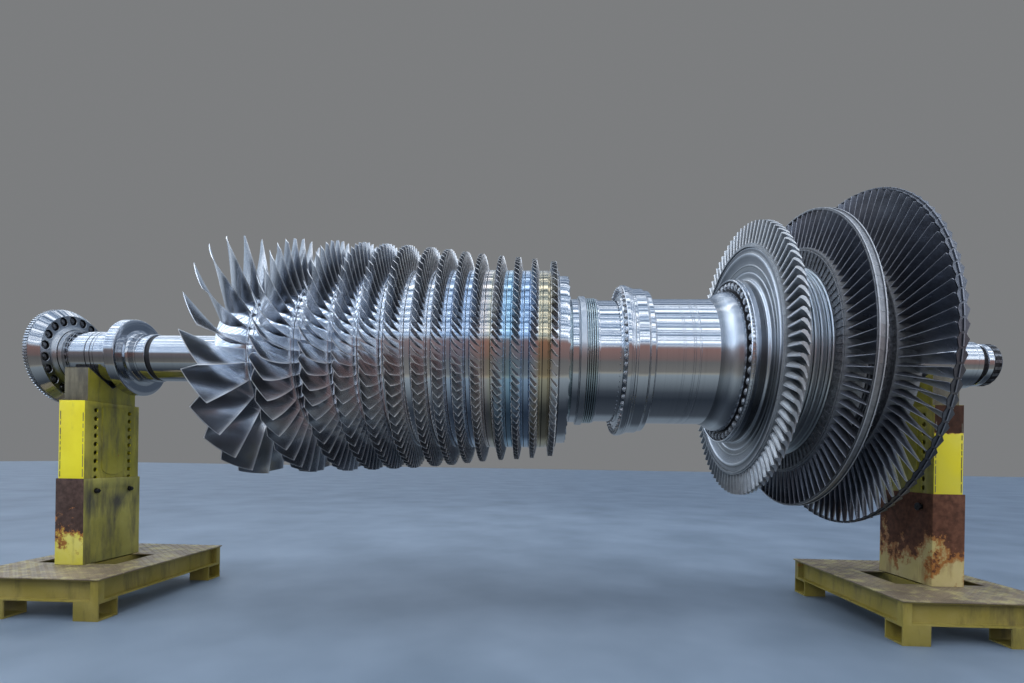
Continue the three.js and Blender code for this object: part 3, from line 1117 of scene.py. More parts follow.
def compressor_rim(index, stage):
    """Turned outline of a compressor wheel: the blade land, its edge grooves and the drum band."""
    shortest_jointed_band = 38
    (front, back, after), (r0, r1, r2) = stage[2:4]
    if index == 0:
        stations = [(front, 0), (front, 300), (front, 396), (front + 3, 420)]
        stations += [(front + 10, 441), (front + 22, 458), (front + 44, 472)]
    else:
        stations = [(front, 0), (front, r0 - 5), (front + 4, r0)]
    if index in (0, 1):
        for t in (0.35, 0.6, 0.85):
            stations.append((front + (back - front) * t, r0 + (r1 - r0) * (t + 0.06)))
    stations += [(back - 2, r1), (back, r1 - 5), (back + 4, r1 - 5), (back + 6, r1)]
    if after - back > shortest_jointed_band:
        seam = drum_seam(stage)
        rs = r1 + 0.3 * (r2 - r1)
        stations += [(seam - 2.5, rs), (seam - 1.5, rs - 5), (seam + 1.5, rs - 5)]
        stations.append((seam + 2.5, rs))
    if index == 12:
        stations += [(408, r2), (409, r2 - 16), (417, r2 - 16), (418, r2)]
    stations += [(after - 3, r2), (after, r2 - 5), (after, 0)]
    return stations


def bucket_sections(root, tip, shape, levels):
    """Bucket sections; root and tip are ((x0, r0), (x1, r1)), shape gives root and tip values."""
    sunk = 10.0
    sections = []
    for level in levels:
        t = max(level, 0.0)

        def between(key):
            return shape[key][0] + (shape[key][1] - shape[key][0]) * t

        lead = [a + (b - a) * t for a, b in zip(root[0], tip[0])]
        trail = [a + (b - a) * t for a, b in zip(root[1], tip[1])]
        if level < 0:
            lead[1] -= sunk
            trail[1] -= sunk
        sections.append(
            {
                "lead": lead,
                "trail": trail,
                "fall": (between("rise"), -between("drop")),
                "sag": between("crown"),
                "thick": between("thick") * (1.25 if level <= 0 else 1.0),
                "tail": between("tail"),
                # Painted highlight, partly wear, along the tip
                "wear_and_glint": 0.6 if level > 0.995 else 0.0,
            }
        )
    return sections


def arc_block(shell, x0, x1, low, high, half, wear_and_glint=0.0):
    """A block on a wheel, given by its stations, radii (front, back) and half width across."""
    corners = []
    for x, inner, outer in ((x0, low[0], high[0]), (x1, low[1], high[1])):
        corners += [shell.around(x, inner, s / inner) for s in (-half, half)]
        corners += [shell.around(x, outer, s / outer, wear_and_glint) for s in (-half, half)]
    shell.block(corners)


# Height and half width down one side of a bucket root
FIR_TREE = (
    (0.0, 9),
    (12, 13),
    (19, 8),
    (34, 15),
    (42, 10),
    (60, 18),
    (69, 12),
    (90, 22),
    (99, 15),
    (118, 25),
    (128, 25),
)


def fir_tree_root(shell, x0, x1, base, scale):
    """The end of one bucket root standing a little proud of its wheel."""
    side = [(w * scale, base + h * scale) for h, w in FIR_TREE]
    outline = side + [(-s, r) for s, r in reversed(side)]
    rows = []
    for x in (x0, x1):
        rows.append([shell.around(x, math.hypot(r, s), math.atan2(s, r)) for s, r in outline])
    shell.stack(rows)


# Settings


class RotorSizes(bpy.types.PropertyGroup):
    """Counts of the rotor's repeated pieces."""

    load_bolts: bpy.props.IntProperty(
        name="Load coupling bolts",
        description="Bolts round the load coupling flange",
        default=20,
        min=8,
    )
    gear_teeth: bpy.props.IntProperty(
        name="Turning teeth",
        description="Teeth on the rim of the load coupling flange",
        default=104,
        min=24,
    )
    coupling_nuts: bpy.props.IntProperty(
        name="Coupling nuts",
        description="Nuts round the coupling between compressor and turbine",
        default=60,
        min=12,
    )
    flange_nuts: bpy.props.IntProperty(
        name="Flange nuts",
        description="Nuts round the flange before the first turbine wheel",
        default=48,
        min=12,
    )
    buckets: bpy.props.IntProperty(
        name="Buckets in a turbine row",
        description="Buckets on each turbine wheel",
        default=92,
        min=24,
    )


class RotorFinishes(bpy.types.PropertyGroup):
    """Colours that the finishes are mixed from."""

    polished: bpy.props.FloatVectorProperty(
        name="Polished steel",
        description="Shafts and drum",
        subtype="COLOR",
        default=(0.62, 0.65, 0.7),
    )
    satin: bpy.props.FloatVectorProperty(
        name="Satin steel",
        description="Turned wheels and the flared shaft end",
        subtype="COLOR",
        default=(0.54, 0.57, 0.61),
    )
    blade: bpy.props.FloatVectorProperty(
        name="Compressor blades",
        description="Blades of the compressor rows",
        subtype="COLOR",
        default=(0.5, 0.53, 0.58),
    )
    bucket: bpy.props.FloatVectorProperty(
        name="First turbine row",
        description="Blasted buckets of the first turbine row",
        subtype="COLOR",
        default=(0.45, 0.475, 0.5),
    )
    oxide: bpy.props.FloatVectorProperty(
        name="Dark turbine rows",
        description="Service oxide on the second and third turbine rows",
        subtype="COLOR",
        default=(0.14, 0.152, 0.185),
    )
    yellow: bpy.props.FloatVectorProperty(
        name="Stand paint",
        description="Clean paint of the stands",
        subtype="COLOR",
        default=(0.66, 0.56, 0.02),
    )
    rust: bpy.props.FloatVectorProperty(
        name="Rust",
        description="Rust and old primer on the stands",
        subtype="COLOR",
        default=(0.12, 0.05, 0.028),
    )


class StandSizes(bpy.types.PropertyGroup):
    """Sizes of the stands' small detail."""

    tread_pitch: bpy.props.FloatProperty(
        name="Tread pitch",
        description="Distance between the lozenges of the deck plate",
        default=0.036,
        min=0.01,
        subtype="DISTANCE",
        unit="LENGTH",
    )
    pin_hole: bpy.props.FloatProperty(
        name="Pin hole",
        description="Diameter of the height-setting holes",
        default=0.042,
        min=0.01,
        subtype="DISTANCE",
        unit="LENGTH",
    )
    pin_pitch: bpy.props.FloatProperty(
        name="Pin pitch",
        description="Height between two pin holes",
        default=0.074,
        min=0.03,
        subtype="DISTANCE",
        unit="LENGTH",
    )


# Rotor


class ROTOR_OT_inlet_shaft(bpy.types.Operator):
    """Builds the toothed load flange, stub shaft, thrust collar and forward journal"""

    bl_idname = "rotor.inlet_shaft"
    bl_label = "Inlet shaft"

    def execute(self, context):
        sizes = context.scene.rotor_sizes
        looks = finishes(context)
        self.load_flange(sizes, looks)
        grooves = ((-3748, 6, 3), (-3592, 8, 3), (-3548, 7, 3), (-3520, 4, 2))
        stations = grooved(-3770, -3360, 233, grooves) + [(-3354, 240), (-3340, 262)]
        # Painted shade: the grooves take the black finish
        dark = tuple((x - width / 2, x + width / 2, 1) for x, width, _ in grooves)
        steels = [looks["journal"], looks["black"]]
        stub = turned_object("stub_shaft", eased(stations, 2), steels, SHAFT_SIDES, dark)
        place_piece(stub, "polished_steel", "forward_stub_shaft")
        collar = [(-3340, 0), (-3340, 333), (-3334, 339), (-3254, 339), (-3248, 333)]
        collar += [(-3246, 300), (-3244, 246), (-3236, 226), (-3222, 213), (-3168, 213)]
        collar += [(-3166, 210), (-3160, 210), (-3158, 213), (-3080, 213), (-3075, 208)]
        collar += [(-3075, 0)]
        wheel = turned_object("thrust_collar_wheel", eased(collar, 3), [looks["journal"]])
        place_piece(wheel, "machined_steel", "thrust_collar")
        journal = [(-3075, 0), (-3075, 199), (-3036, 199), (-3035, 204), (-2470, 204)]
        journal += [(-2440, 207), (-2400, 216), (-2360, 232), (-2330, 252), (-2318, 262)]
        journal += [(-2318, 0)]
        steels = [looks["journal"], looks["tape"]]
        taped = ((-3075, -3035, 1),)
        shaft = turned_object("journal_shaft", eased(journal, 1.5), steels, SHAFT_SIDES, taped)
        place_piece(shaft, "polished_steel", "forward_journal")
        return {"FINISHED"}

    def load_flange(self, sizes, looks):
        """The flange with its teeth, and the nuts in the recesses of its inner face."""
        steps = 8
        sides = sizes.load_bolts * steps
        face, outer, inner = -3855, 368, 278
        circle, hole, recess = 324, 37, 40
        shell = Shell()
        front = [(-3961, 0), (-3961, 150), (-3977, 156), (-3977, 392), (-3965, 411)]
        front += [(-3925, 411), (-3923, 420), (-3915, 415), (-3866, 374)]
        front += [(face, outer)]
        turned(shell, eased(front, 3), sides, ((-3923, -3856, 2),), back=False)
        bolt = (circle, hole)
        # Painted shade: the recess walls and floors take the black finish
        drilled_face(shell, face, outer, inner, bolt, sizes.load_bolts, steps, -recess)
        back = [(face, inner), (-3852, 272), (-3842, 259), (-3826, 248), (-3824, 244)]
        back += [(-3820, 243), (-3818, 246), (-3796, 238), (-3794, 235), (-3770, 233)]
        # Painted shade: the groove from -3826 to -3818 takes the black finish
        turned(shell, back, sides, ((-3826, -3818, 1),), front=False)
        body = shell.object(
            "toothed_flange", [looks["flange"], looks["black"], looks["journal"]]
        )
        tooth = Shell(axis=0.0)
        rows = []
        for x, trim in ((-3964, 3), (-3961, 0), (-3929, 0), (-3926, 3)):
            rows.append(
                [
                    tooth.around(x, 405, -0.0205),
                    tooth.around(x, 412, -0.0195, 0.3),
                    tooth.around(x, 423 - trim, -0.0115, 1.0),
                    tooth.around(x, 423 - trim, 0.0115, 1.0),
                    tooth.around(x, 412, 0.0195, 0.3),
                    tooth.around(x, 405, 0.0205),
                ]
            )
        tooth.stack(rows)
        teeth = ring_of("gear_teeth", tooth, sizes.gear_teeth, looks["satin"])
        half_pitch = math.pi / sizes.load_bolts
        nut = fastener(face - recess + 1, circle, 1, flats=52, height=27, stud=15, proud=8)
        nuts = ring_of("load_nuts", nut, sizes.load_bolts, looks["dark_bolt"], half_pitch)
        flange = joined("toothed_load_flange", [body, teeth, nuts])
        place_piece(flange, "machined_steel", "load_coupling_flange")


class ROTOR_OT_compressor(bpy.types.Operator):
    """Builds the fourteen bladed compressor wheels"""

    bl_idname = "rotor.compressor"
    bl_label = "Compressor rows"

    def execute(self, context):
        looks = finishes(context)
        for index, stage in enumerate(COMPRESSOR):
            label = f"{index:02d}"
            seam = drum_seam(stage)
            joint = ((seam - 2.4, seam + 2.4, 1),)
            stations = eased(compressor_rim(index, stage), 3)
            steels = [looks["drum"], looks["black"]]
            rim = turned_object("rim_" + label, stations, steels, slots=joint)
            steps, points = (9, 9) if index == 0 else (6, 8) if index < 4 else (3, 7)
            blade = Shell(axis=0.0)
            aerofoil(blade, compressor_sections(stage, steps), points)
            steel = looks["blade" if index < 5 else "small_blade"]
            row = ring_of("blades_" + label, blade, stage[0], steel, stage[1])
            piece = joined("compressor_row_" + label, [rim, row])
            place_piece(piece, "compressor_steel", "compressor_stage_" + label)
        return {"FINISHED"}


class ROTOR_OT_middle(bpy.types.Operator):
    """Builds the scalloped ring, seal hub, distance piece, coupling and flared shaft"""

    bl_idname = "rotor.middle"
    bl_label = "Middle of the shaft"

    def execute(self, context):
        sizes = context.scene.rotor_sizes
        looks = finishes(context)
        self.scalloped_ring(looks)
        hub = [(580, 0), (580, 470), (605, 470), (607, 525), (610, 528), (657, 528)]
        hub += [(660, 521), (667, 521), (669, 548), (672, 551), (716, 551), (719, 548)]
        hub += [(719, 522)]
        ribs = [723 + 16.6 * step for step in range(5)]
        for x in ribs:
            hub += [(x, 522), (x + 1, 535), (x + 11, 535), (x + 12, 522)]
        hub += [(805, 522), (805, 0)]
        # Painted shade: the black finish fills the floors between the ribs
        grooves = tuple((x - 4.6, x, 2) for x in ribs)
        bands = grooves + ((580, 606, 1), (606, 660, 3), (719, 805, 1))
        steels = [looks["satin"], looks["seal"], looks["black"], looks["polished"]]
        ring = turned_object("seal_hub", eased(hub, 2), steels, slots=bands)
        place_piece(ring, "machined_steel", "compressor_seal_hub")
        stations = [(805, 0), (805, 528), (808, 531), (819, 531), (823, 517), (985, 517)]
        stations += [(1000, 524), (1000, 0)]
        tube = turned_object("distance_tube", eased(stations, 2), [looks["polished"]])
        place_piece(tube, "polished_steel", "distance_piece")
        self.coupling(sizes, looks)
        self.flared_shaft(looks)
        return {"FINISHED"}

    def scalloped_ring(self, looks):
        """A ring whose aft edge is cut into shallow rounded windows."""
        shell = Shell()
        windows, steps = 33, 12
        sides = windows * steps
        stations = [(496, 700), (499, 709), (502, 712), (504, 712), (556, 712), (560, 711)]
        rings = []
        for x, r in stations:
            rings.append([shell.around(x, r, 2 * math.pi * k / sides) for k in range(sides)])
        for depth, radius in ((0, 709), (1, 705), (1, 650), (0, 620)):
            ring = []
            for k in range(sides):
                share = (k % steps) / steps
                wave = max(0.0, math.sin(math.pi * share) - 0.2) ** 0.4
                x = 580 - depth - 12 * wave if radius > 640 else 568
                ring.append(shell.around(x, radius, 2 * math.pi * k / sides))
            rings.append(ring)
        shell.stack(rings)
        ring = shell.object("scallops", [looks["polished"]])
        core = [(540, 0), (540, 640), (572, 630), (580, 600), (580, 0)]
        inner = turned_object("scallop_core", core, [looks["seal"]])
        place_piece(
            joined("scalloped_ring", [ring, inner]),
            "polished_steel",
            "compressor_aft_ring",
        )

    def coupling(self, sizes, looks):
        stations = [(1000, 0), (1000, 545), (1011, 560), (1013, 634), (1018, 640)]
        stations += [(1044, 640), (1046, 633), (1051, 633), (1053, 637), (1061, 635)]
        stations += [(1063, 628), (1067, 628), (1069, 632), (1078, 629), (1082, 623)]
        stations += [(1097, 622), (1101, 614), (1108, 613), (1183, 613), (1188, 609)]
        stations += [(1191, 603), (1196, 603), (1199, 599), (1234, 597), (1240, 588)]
        stations += [(1242, 575), (1242, 0)]
        body = turned_object("coupling_body", eased(stations, 2), [looks["polished"]])
        nut = fastener(1012, 610, -1, flats=34, height=14, stud=10, proud=6)
        nuts = ring_of("coupling_nuts_front", nut, sizes.coupling_nuts, looks["bolt"])
        place_piece(
            joined("bolted_coupling", [body, nuts]),
            "machined_steel",
            "marriage_coupling",
        )

    def flared_shaft(self, looks):
        grooves = ((1256, 5, 4), (1459, 3, 2), (1475, 3, 2))
        grooves += ((1539, 3, 3), (1555, 3, 3), (1592, 12, 4))
        tube = grooved(1242, 1742, 530, grooves)
        flare = [(1745, 532), (1766, 537), (1790, 547), (1812, 561), (1830, 573)]
        flare += [(1846, 581), (1864, 587), (1880, 590), (1896, 592), (1912, 593)]
        stations = [(1242, 0)] + eased(tube, 2) + flare + [(1912, 0)]
        steels = [looks["polished"], looks["bell"]]
        shaft = turned_object("flared_shaft", stations, steels, slots=((1743, 1912, 1),))
        place_piece(shaft, "polished_steel", "turbine_forward_shaft")


class ROTOR_OT_turbine(bpy.types.Operator):
    """Builds the turbine wheels with their buckets, shrouds and spacers"""

    bl_idname = "rotor.turbine"
    bl_label = "Turbine rows"

    def execute(self, context):
        sizes = context.scene.rotor_sizes
        looks = finishes(context)
        self.bolt_flange(sizes, looks)
        self.first_wheel(sizes, looks)
        self.spacers(looks)
        self.second_wheel(sizes, looks)
        self.third_wheel(sizes, looks)
        return {"FINISHED"}

    def bolt_flange(self, sizes, looks):
        # A black disc fills the recess behind the nuts: painted shade
        core = [(1912, 0), (1912, 590), (1932, 594), (1932, 674), (1950, 674), (1950, 0)]
        recess = turned_object("bolt_recess", core, [looks["black"]])
        shell = Shell()
        stations = [(1940, 670), (1916, 673), (1912, 680), (1919, 687), (1938, 688)]
        stations += [(1940, 685), (1943, 685), (1945, 688), (1980, 688), (1984, 684)]
        stations += [(1984, 0)]
        turned(shell, eased(stations, 1), WHEEL_SIDES, front=False)
        body = shell.object("bolt_flange_rim", [looks["polished"]])
        nut = fastener(1931, 636, -1, flats=46, height=14, stud=13, proud=5)
        nuts = ring_of("flange_nuts", nut, sizes.flange_nuts, looks["bolt"])
        place_piece(
            joined("bolted_flange", [body, recess, nuts]),
            "polished_steel",
            "turbine_bolt_flange",
        )

    def first_wheel(self, sizes, looks):
        """The dished face with its lip, then the disc and the bare buckets."""
        stations = [(1984, 0), (1984, 672), (2024, 674), (2028, 680), (2030, 686)]
        stations += [(2036, 690), (2044, 692), (2050, 698), (2053, 712), (2054, 736)]
        stations += [(2057, 741), (2056, 748), (2051, 754), (2049, 788), (2046, 792)]
        stations += [(2045, 800), (2049, 805), (2044, 826), (2035, 858), (2027, 874)]
        stations += [(2024, 878), (2024, 888), (2031, 894), (2034, 904), (2032, 914)]
        stations += [(2030, 920), (2030, 930), (2036, 938), (2062, 938), (2062, 0)]
        face = turned_object("first_wheel_face", eased(stations, 2), [looks["first_face"]])
        place_piece(face, "machined_steel", "turbine_wheel_1_face")
        stations = [(2060, 0), (2060, 936), (2040, 940), (2037, 946), (2041, 951)]
        stations += [(2191, 951), (2195, 944), (2195, 0)]
        disc = turned_object("first_disc", stations, [looks["wheel"]])
        pitch = 2 * math.pi / sizes.buckets
        bucket = Shell(axis=0.0)
        arc_block(bucket, 2029, 2201, (949, 949), (965, 965), 0.49 * pitch * 965)
        arc_block(bucket, 2020, 2040, (938, 938), (952, 956), 0.485 * pitch * 950)
        sections = bucket_sections(
            ((2040, 962), (2190, 962)),
            ((2047, 1135), (2107, 1135)),
            {
                "rise": (6, 2),
                "drop": (44, 66),
                "crown": (42, 30),
                "thick": (36, 27),
                "tail": (6, 5),
            },
            (-0.05, 0.0, 0.06, 0.25, 0.5, 0.75, 0.97, 1.0),
        )
        aerofoil(bucket, sections, 7)
        row = ring_of("first_buckets", bucket, sizes.buckets, looks["bucket"])
        place_piece(
            joined("first_turbine_row", [disc, row]), "bucket_alloy", "turbine_stage_1"
        )

    def spacers(self, looks):
        ribs = (2286, 2320, 2366, 2416)
        stations = [(2195, 0), (2195, 866), (2204, 872), (2226, 872), (2232, 862)]
        stations += [(2236, 780), (2270, 776)]
        for x in ribs:
            stations += [(x - 10, 776), (x - 8, 764), (x - 5, 764), (x - 3, 776)]
            stations += [(x, 787), (x + 5, 787), (x + 12, 778)]
        stations += [(2434, 776), (2436, 764), (2440, 764), (2443, 784), (2451, 787)]
        stations += [(2455, 784), (2455, 0)]
        # Painted shade: the black finish fills the grooves beside the ribs
        grooves = tuple((x - 10, x - 4, 1) for x in (*ribs, 2445))
        steels = [looks["wheel"], looks["black"]]
        spacer = turned_object("ribbed_spacer", eased(stations, 3), steels, slots=grooves)
        place_piece(spacer, "machined_steel", "spacer_1_2")
        stations = [(2600, 0), (2600, 820), (2632, 820), (2644, 786)]
        for x in (2660, 2690, 2720, 2750):
            stations += [(x, 784), (x + 3, 812), (x + 8, 812), (x + 11, 784)]
        stations += [(2790, 784), (2806, 820), (2835, 822), (2835, 0)]
        spacer = turned_object("dark_spacer", eased(stations, 3), [looks["root"]])
        place_piece(spacer, "machined_steel", "spacer_2_3")

    def second_wheel(self, sizes, looks):
        stations = [(2455, 0), (2455, 912), (2460, 918), (2595, 920), (2600, 914)]
        stations += [(2600, 0)]
        disc = turned_object("second_disc", eased(stations, 2), [looks["root"]])
        pitch = 2 * math.pi / sizes.buckets
        root = Shell(axis=0.0)
        fir_tree_root(root, 2447, 2458, 798, 0.86)
        # The block tops carry painted highlight, partly wear
        arc_block(root, 2444, 2606, (919, 919), (931, 934), 0.487 * pitch * 931, wear_and_glint=0.6)
        arc_block(root, 2440, 2452, (906, 906), (916, 916), 0.47 * pitch * 912, wear_and_glint=0.7)
        roots = ring_of("second_roots", root, sizes.buckets, looks["root"])
        bucket = Shell(axis=0.0)
        sections = bucket_sections(
            ((2458, 928), (2596, 930)),
            ((2480, 1204), (2560, 1204)),
            {
                "rise": (8, 14),
                "drop": (36, 52),
                "crown": (30, 14),
                "thick": (22, 9),
                "tail": (3.5, 2.5),
            },
            (-0.03, 0.0, 0.04, 0.2, 0.4, 0.6, 0.8, 1.0),
        )
        aerofoil(bucket, sections, 6)
        row = ring_of("second_buckets", bucket, sizes.buckets, looks["oxide"])
        cover = self.shroud((2482, 2550), 1203, 1211, 1220, 0.0, sizes, looks)
        place_piece(
            joined("second_turbine_row", [disc, roots, row, cover]),
            "dark_bucket_alloy",
            "turbine_stage_2",
        )

    def third_wheel(self, sizes, looks):
        stations = [(2835, 0), (2835, 858), (2841, 864), (2994, 876), (3000, 870)]
        stations += [(3000, 700), (2988, 690), (2988, 600), (3000, 590), (3000, 0)]
        disc = turned_object("third_disc", eased(stations, 2), [looks["root"]])
        pitch = 2 * math.pi / sizes.buckets
        root = Shell(axis=0.0)
        fir_tree_root(root, 2829, 2838, 782, 0.62)
        fir_tree_root(root, 2997, 3004, 790, 0.62)
        # The block tops carry painted highlight, partly wear
        arc_block(root, 2826, 3006, (862, 874), (876, 890), 0.487 * pitch * 876, wear_and_glint=0.6)
        roots = ring_of("third_roots", root, sizes.buckets, looks["root"])
        bucket = Shell(axis=0.0)
        sections = bucket_sections(
            ((2838, 874), (2994, 888)),
            ((2858, 1341), (2932, 1341)),
            {
                "rise": (10, 22),
                "drop": (30, 56),
                "crown": (30, 8),
                "thick": (22, 7),
                "tail": (3.5, 2.2),
            },
            (-0.02, 0.0, 0.03, 0.15, 0.3, 0.45, 0.6, 0.75, 0.9, 1.0),
        )
        aerofoil(bucket, sections, 6)
        row = ring_of("third_buckets", bucket, sizes.buckets, looks["oxide"])
        cover = self.shroud((2884, 2922), 1340, 1347, 1356, 22.0, sizes, looks)
        place_piece(
            joined("third_turbine_row", [disc, roots, row, cover]),
            "dark_bucket_alloy",
            "turbine_stage_3",
        )

    def shroud(self, ends, low, high, rail, prong, sizes, looks):
        """Interlocking tip covers with seal rails; prong is how far their points reach aft."""
        pitch = 2 * math.pi / sizes.buckets
        half = 0.494 * pitch * low
        x0, x1 = ends
        middle = 0.5 * (x0 + x1)
        notch, shift = 10.0, 9
        outline = [(x0, -half), (x0 - 0.6 * prong, half * 0.2), (x0, half)]
        outline += [(middle - notch, half), (middle + notch, half - shift)]
        outline.append((x1, half - shift))
        if prong:
            outline.append((x1 + prong, half * 0.1))
        outline += [(x1, -half - shift), (middle + notch, -half - shift)]
        outline.append((middle - notch, -half))
        cover = Shell(axis=0.0)
        rows = []
        # The cover tops and seal rails carry painted highlight, partly wear
        for r, wear_plus_glint in ((low, 0.0), (high, 0.7)):
            rows.append([cover.around(x, r, s / r, wear_plus_glint) for x, s in outline])
        cover.stack(rows)
        rails, reach = ((middle - 3,), 0.84) if prong else ((x0 + 7, x1 - 14), 1.01)
        for x in rails:
            low_edge, high_edge = (high - 1,) * 2, (rail,) * 2
            arc_block(cover, x, x + 7, low_edge, high_edge, half * reach, wear_and_glint=1.0)
        look = looks["tip"] if prong else looks["shroud"]
        return ring_of("tip_covers", cover, sizes.buckets, look)


class ROTOR_OT_exhaust_shaft(bpy.types.Operator):
    """Builds the exhaust cone, aft journal and shaft end"""

    bl_idname = "rotor.exhaust_shaft"
    bl_label = "Exhaust shaft"

    def execute(self, context):
        looks = finishes(context)
        cone_nuts, lug_count = 24, 20
        cone = [(3000, 0), (3000, 552), (3006, 560), (3056, 560), (3062, 552), (3064, 480)]
        cone += [(3076, 452), (3100, 416), (3140, 368), (3180, 329), (3224, 292)]
        cone += [(3270, 262), (3300, 256), (3396, 250), (3404, 246), (3420, 232), (3420, 0)]
        body = turned_object("cone_body", eased(cone, 3), [looks["satin"]])
        nut = fastener(3063, 515, 1, flats=44, height=22, stud=13, proud=10)
        nuts = ring_of("cone_nuts", nut, cone_nuts, looks["bolt"])
        place_piece(joined("exhaust_cone", [body, nuts]), "machined_steel", "aft_shaft_cone")
        stations = eased(grooved(3420, 3969, 195, ((3470, 4, 3), (3930, 4, 3))), 2)
        journal = turned_object("exhaust_journal", stations, [looks["polished"]], SHAFT_SIDES)
        place_piece(journal, "polished_steel", "aft_journal")
        end = [(3969, 0), (3969, 170), (3980, 170), (3982, 166), (4010, 166), (4012, 170)]
        end += [(4023, 170), (4025, 178), (4066, 178), (4070, 174), (4128, 174)]
        end += [(4141, 162), (4141, 60), (4130, 52), (4130, 0)]
        steels = [looks["polished"], looks["black"]]
        dark = ((3969, 4023, 1), (4071, 4131, 1))
        body = turned_object("end_body", eased(end, 2), steels, SHAFT_SIDES, dark)
        lugs = Shell(axis=0.0)
        arc_block(lugs, 4074, 4126, (170, 170), (177.5, 177.5), 12, wear_and_glint=1.0)
        ring = ring_of("end_lugs", lugs, lug_count, looks["dark_bolt"])
        place_piece(joined("shaft_end", [body, ring]), "machined_steel", "aft_shaft_end")
        return {"FINISHED"}


# Stands

PIN_ACROSS = 0.19
PIN_BELOW_TOP = 0.11


def bevelled(obj, width, angle):
    """Adds rounds to the edges where the surface turns by more than the angle in degrees."""
    edge = obj.modifiers.new("edges", "BEVEL")
    edge.width = width
    edge.segments = 2
    edge.limit_method = "ANGLE"
    edge.angle_limit = math.radians(angle)
    return obj


def copy_of_node(node, name, look, bevel=0.003):
    """A merged copy of a CAD node with rounded edges, as a new piece."""
    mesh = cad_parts[node].data.copy()
    mesh.name = name
    body = bmesh.new()
    body.from_mesh(mesh)
    bmesh.ops.remove_doubles(body, verts=body.verts, dist=1e-5)
    bmesh.ops.dissolve_limit(
        body, angle_limit=math.radians(2), verts=body.verts, edges=body.edges
    )
    body.to_mesh(mesh)
    body.free()
    mesh.materials.clear()
    mesh.materials.append(look)
    for polygon in mesh.polygons:
        polygon.material_index = 0
    obj = bpy.data.objects.new(name, mesh)
    bpy.context.scene.collection.objects.link(obj)
    return bevelled(obj, bevel, 35) if bevel else obj


def applied(obj):
    """The object with its modifiers made part of its mesh."""
    bpy.context.view_layer.update()
    evaluated = obj.evaluated_get(bpy.context.evaluated_depsgraph_get())
    mesh = bpy.data.meshes.new_from_object(evaluated)
    obj.modifiers.clear()
    obj.data = mesh
    mesh.shade_smooth()
    mesh.set_sharp_from_angle(angle=SMOOTH_BELOW)
    return obj


def rod(shell, start, end, radius, sides):
    """A round bar between two points in metres, with a small chamfer at both ends."""
    start, end = Vector(start), Vector(end)
    way = (end - start).normalized()
    side = way.orthogonal().normalized()
    up = way.cross(side)
    chamfer = min(0.15 * radius, 0.002)
    rings = []
    length = (end - start).length
    for along, r in (
        (0, radius - chamfer),
        (chamfer, radius),
        (length - chamfer, radius),
        (length, radius - chamfer),
    ):
        ring = []
        for k in range(sides):
            a = 2 * math.pi * k / sides
            p = start + way * along + (side * math.cos(a) + up * math.sin(a)) * r
            ring.append(shell.point(*p))
        rings.append(ring)
    shell.stack(rings)


def slab(shell, low, high):
    """A plain block between two corners in metres."""
    corners = [
        shell.point(x, y, z)
        for x in (low[0], high[0])
        for y in (low[1], high[1])
        for z in (low[2], high[2])
    ]
    shell.block(corners)


def bored(obj, shell):
    """Cuts the shell's shapes out of the object."""
    cutter = shell.object("cutter", [])
    cut = obj.modifiers.new("bore", "BOOLEAN")
    cut.operation = "DIFFERENCE"
    cut.solver = "EXACT"
    cut.object = cutter
    applied(obj)
    bpy.data.objects.remove(cutter)


def tread_tree():
    """Raised lozenges in alternate directions over a deck plate, left out over its opening."""
    label = "Tread plate lozenges"
    if label in bpy.data.node_groups:
        return bpy.data.node_groups[label]
    tree, given, result = node_tree(
        label,
        (
            ("Length", "NodeSocketFloat", 1.1),
            ("Width", "NodeSocketFloat", 1.5),
            ("Along", "NodeSocketInt", 31),
            ("Across", "NodeSocketInt", 41),
            ("Centre", "NodeSocketVector", None),
            ("Opening Centre", "NodeSocketVector", None),
            ("Opening X", "NodeSocketFloat", 0.35),
            ("Opening Y", "NodeSocketFloat", 0.25),
            ("Finish", "NodeSocketMaterial", None),
        ),
    )
    links = tree.links
    grid = tree.nodes.new("GeometryNodeMeshGrid")
    for source, target in (
        ("Length", "Size X"),
        ("Width", "Size Y"),
        ("Along", "Vertices X"),
        ("Across", "Vertices Y"),
    ):
        links.new(given.outputs[source], grid.inputs[target])
    move = tree.nodes.new("GeometryNodeTransform")
    links.new(grid.outputs["Mesh"], move.inputs["Geometry"])
    links.new(given.outputs["Centre"], move.inputs["Translation"])
    position = tree.nodes.new("GeometryNodeInputPosition")
    offset = tree.nodes.new("ShaderNodeVectorMath")
    offset.operation = "SUBTRACT"
    links.new(position.outputs[0], offset.inputs[0])
    links.new(given.outputs["Opening Centre"], offset.inputs[1])
    size = tree.nodes.new("ShaderNodeVectorMath")
    size.operation = "ABSOLUTE"
    links.new(offset.outputs[0], size.inputs[0])
    parts = tree.nodes.new("ShaderNodeSeparateXYZ")
    links.new(size.outputs[0], parts.inputs[0])
    beyond_x = arithmetic(
        tree, "GREATER_THAN", parts.outputs["X"], given.outputs["Opening X"]
    )
    beyond_y = arithmetic(
        tree, "GREATER_THAN", parts.outputs["Y"], given.outputs["Opening Y"]
    )
    outside = arithmetic(tree, "MAXIMUM", beyond_x, beyond_y)
    index = tree.nodes.new("GeometryNodeInputIndex")
    parity = arithmetic(tree, "MODULO", index.outputs[0], 2.0)
    quarter = arithmetic(tree, "MULTIPLY", parity, math.pi / 2)
    quarter = arithmetic(tree, "ADD", quarter, math.pi / 4)
    rotation = tree.nodes.new("ShaderNodeCombineXYZ")
    links.new(quarter, rotation.inputs["Z"])
    spread = tree.nodes.new("GeometryNodeInstanceOnPoints")
    links.new(move.outputs[0], spread.inputs["Points"])
    links.new(given.outputs["Geometry"], spread.inputs["Instance"])
    links.new(rotation.outputs[0], spread.inputs["Rotation"])
    links.new(outside, spread.inputs["Selection"])
    end_tree(tree, spread.outputs[0], given, result)
    return tree


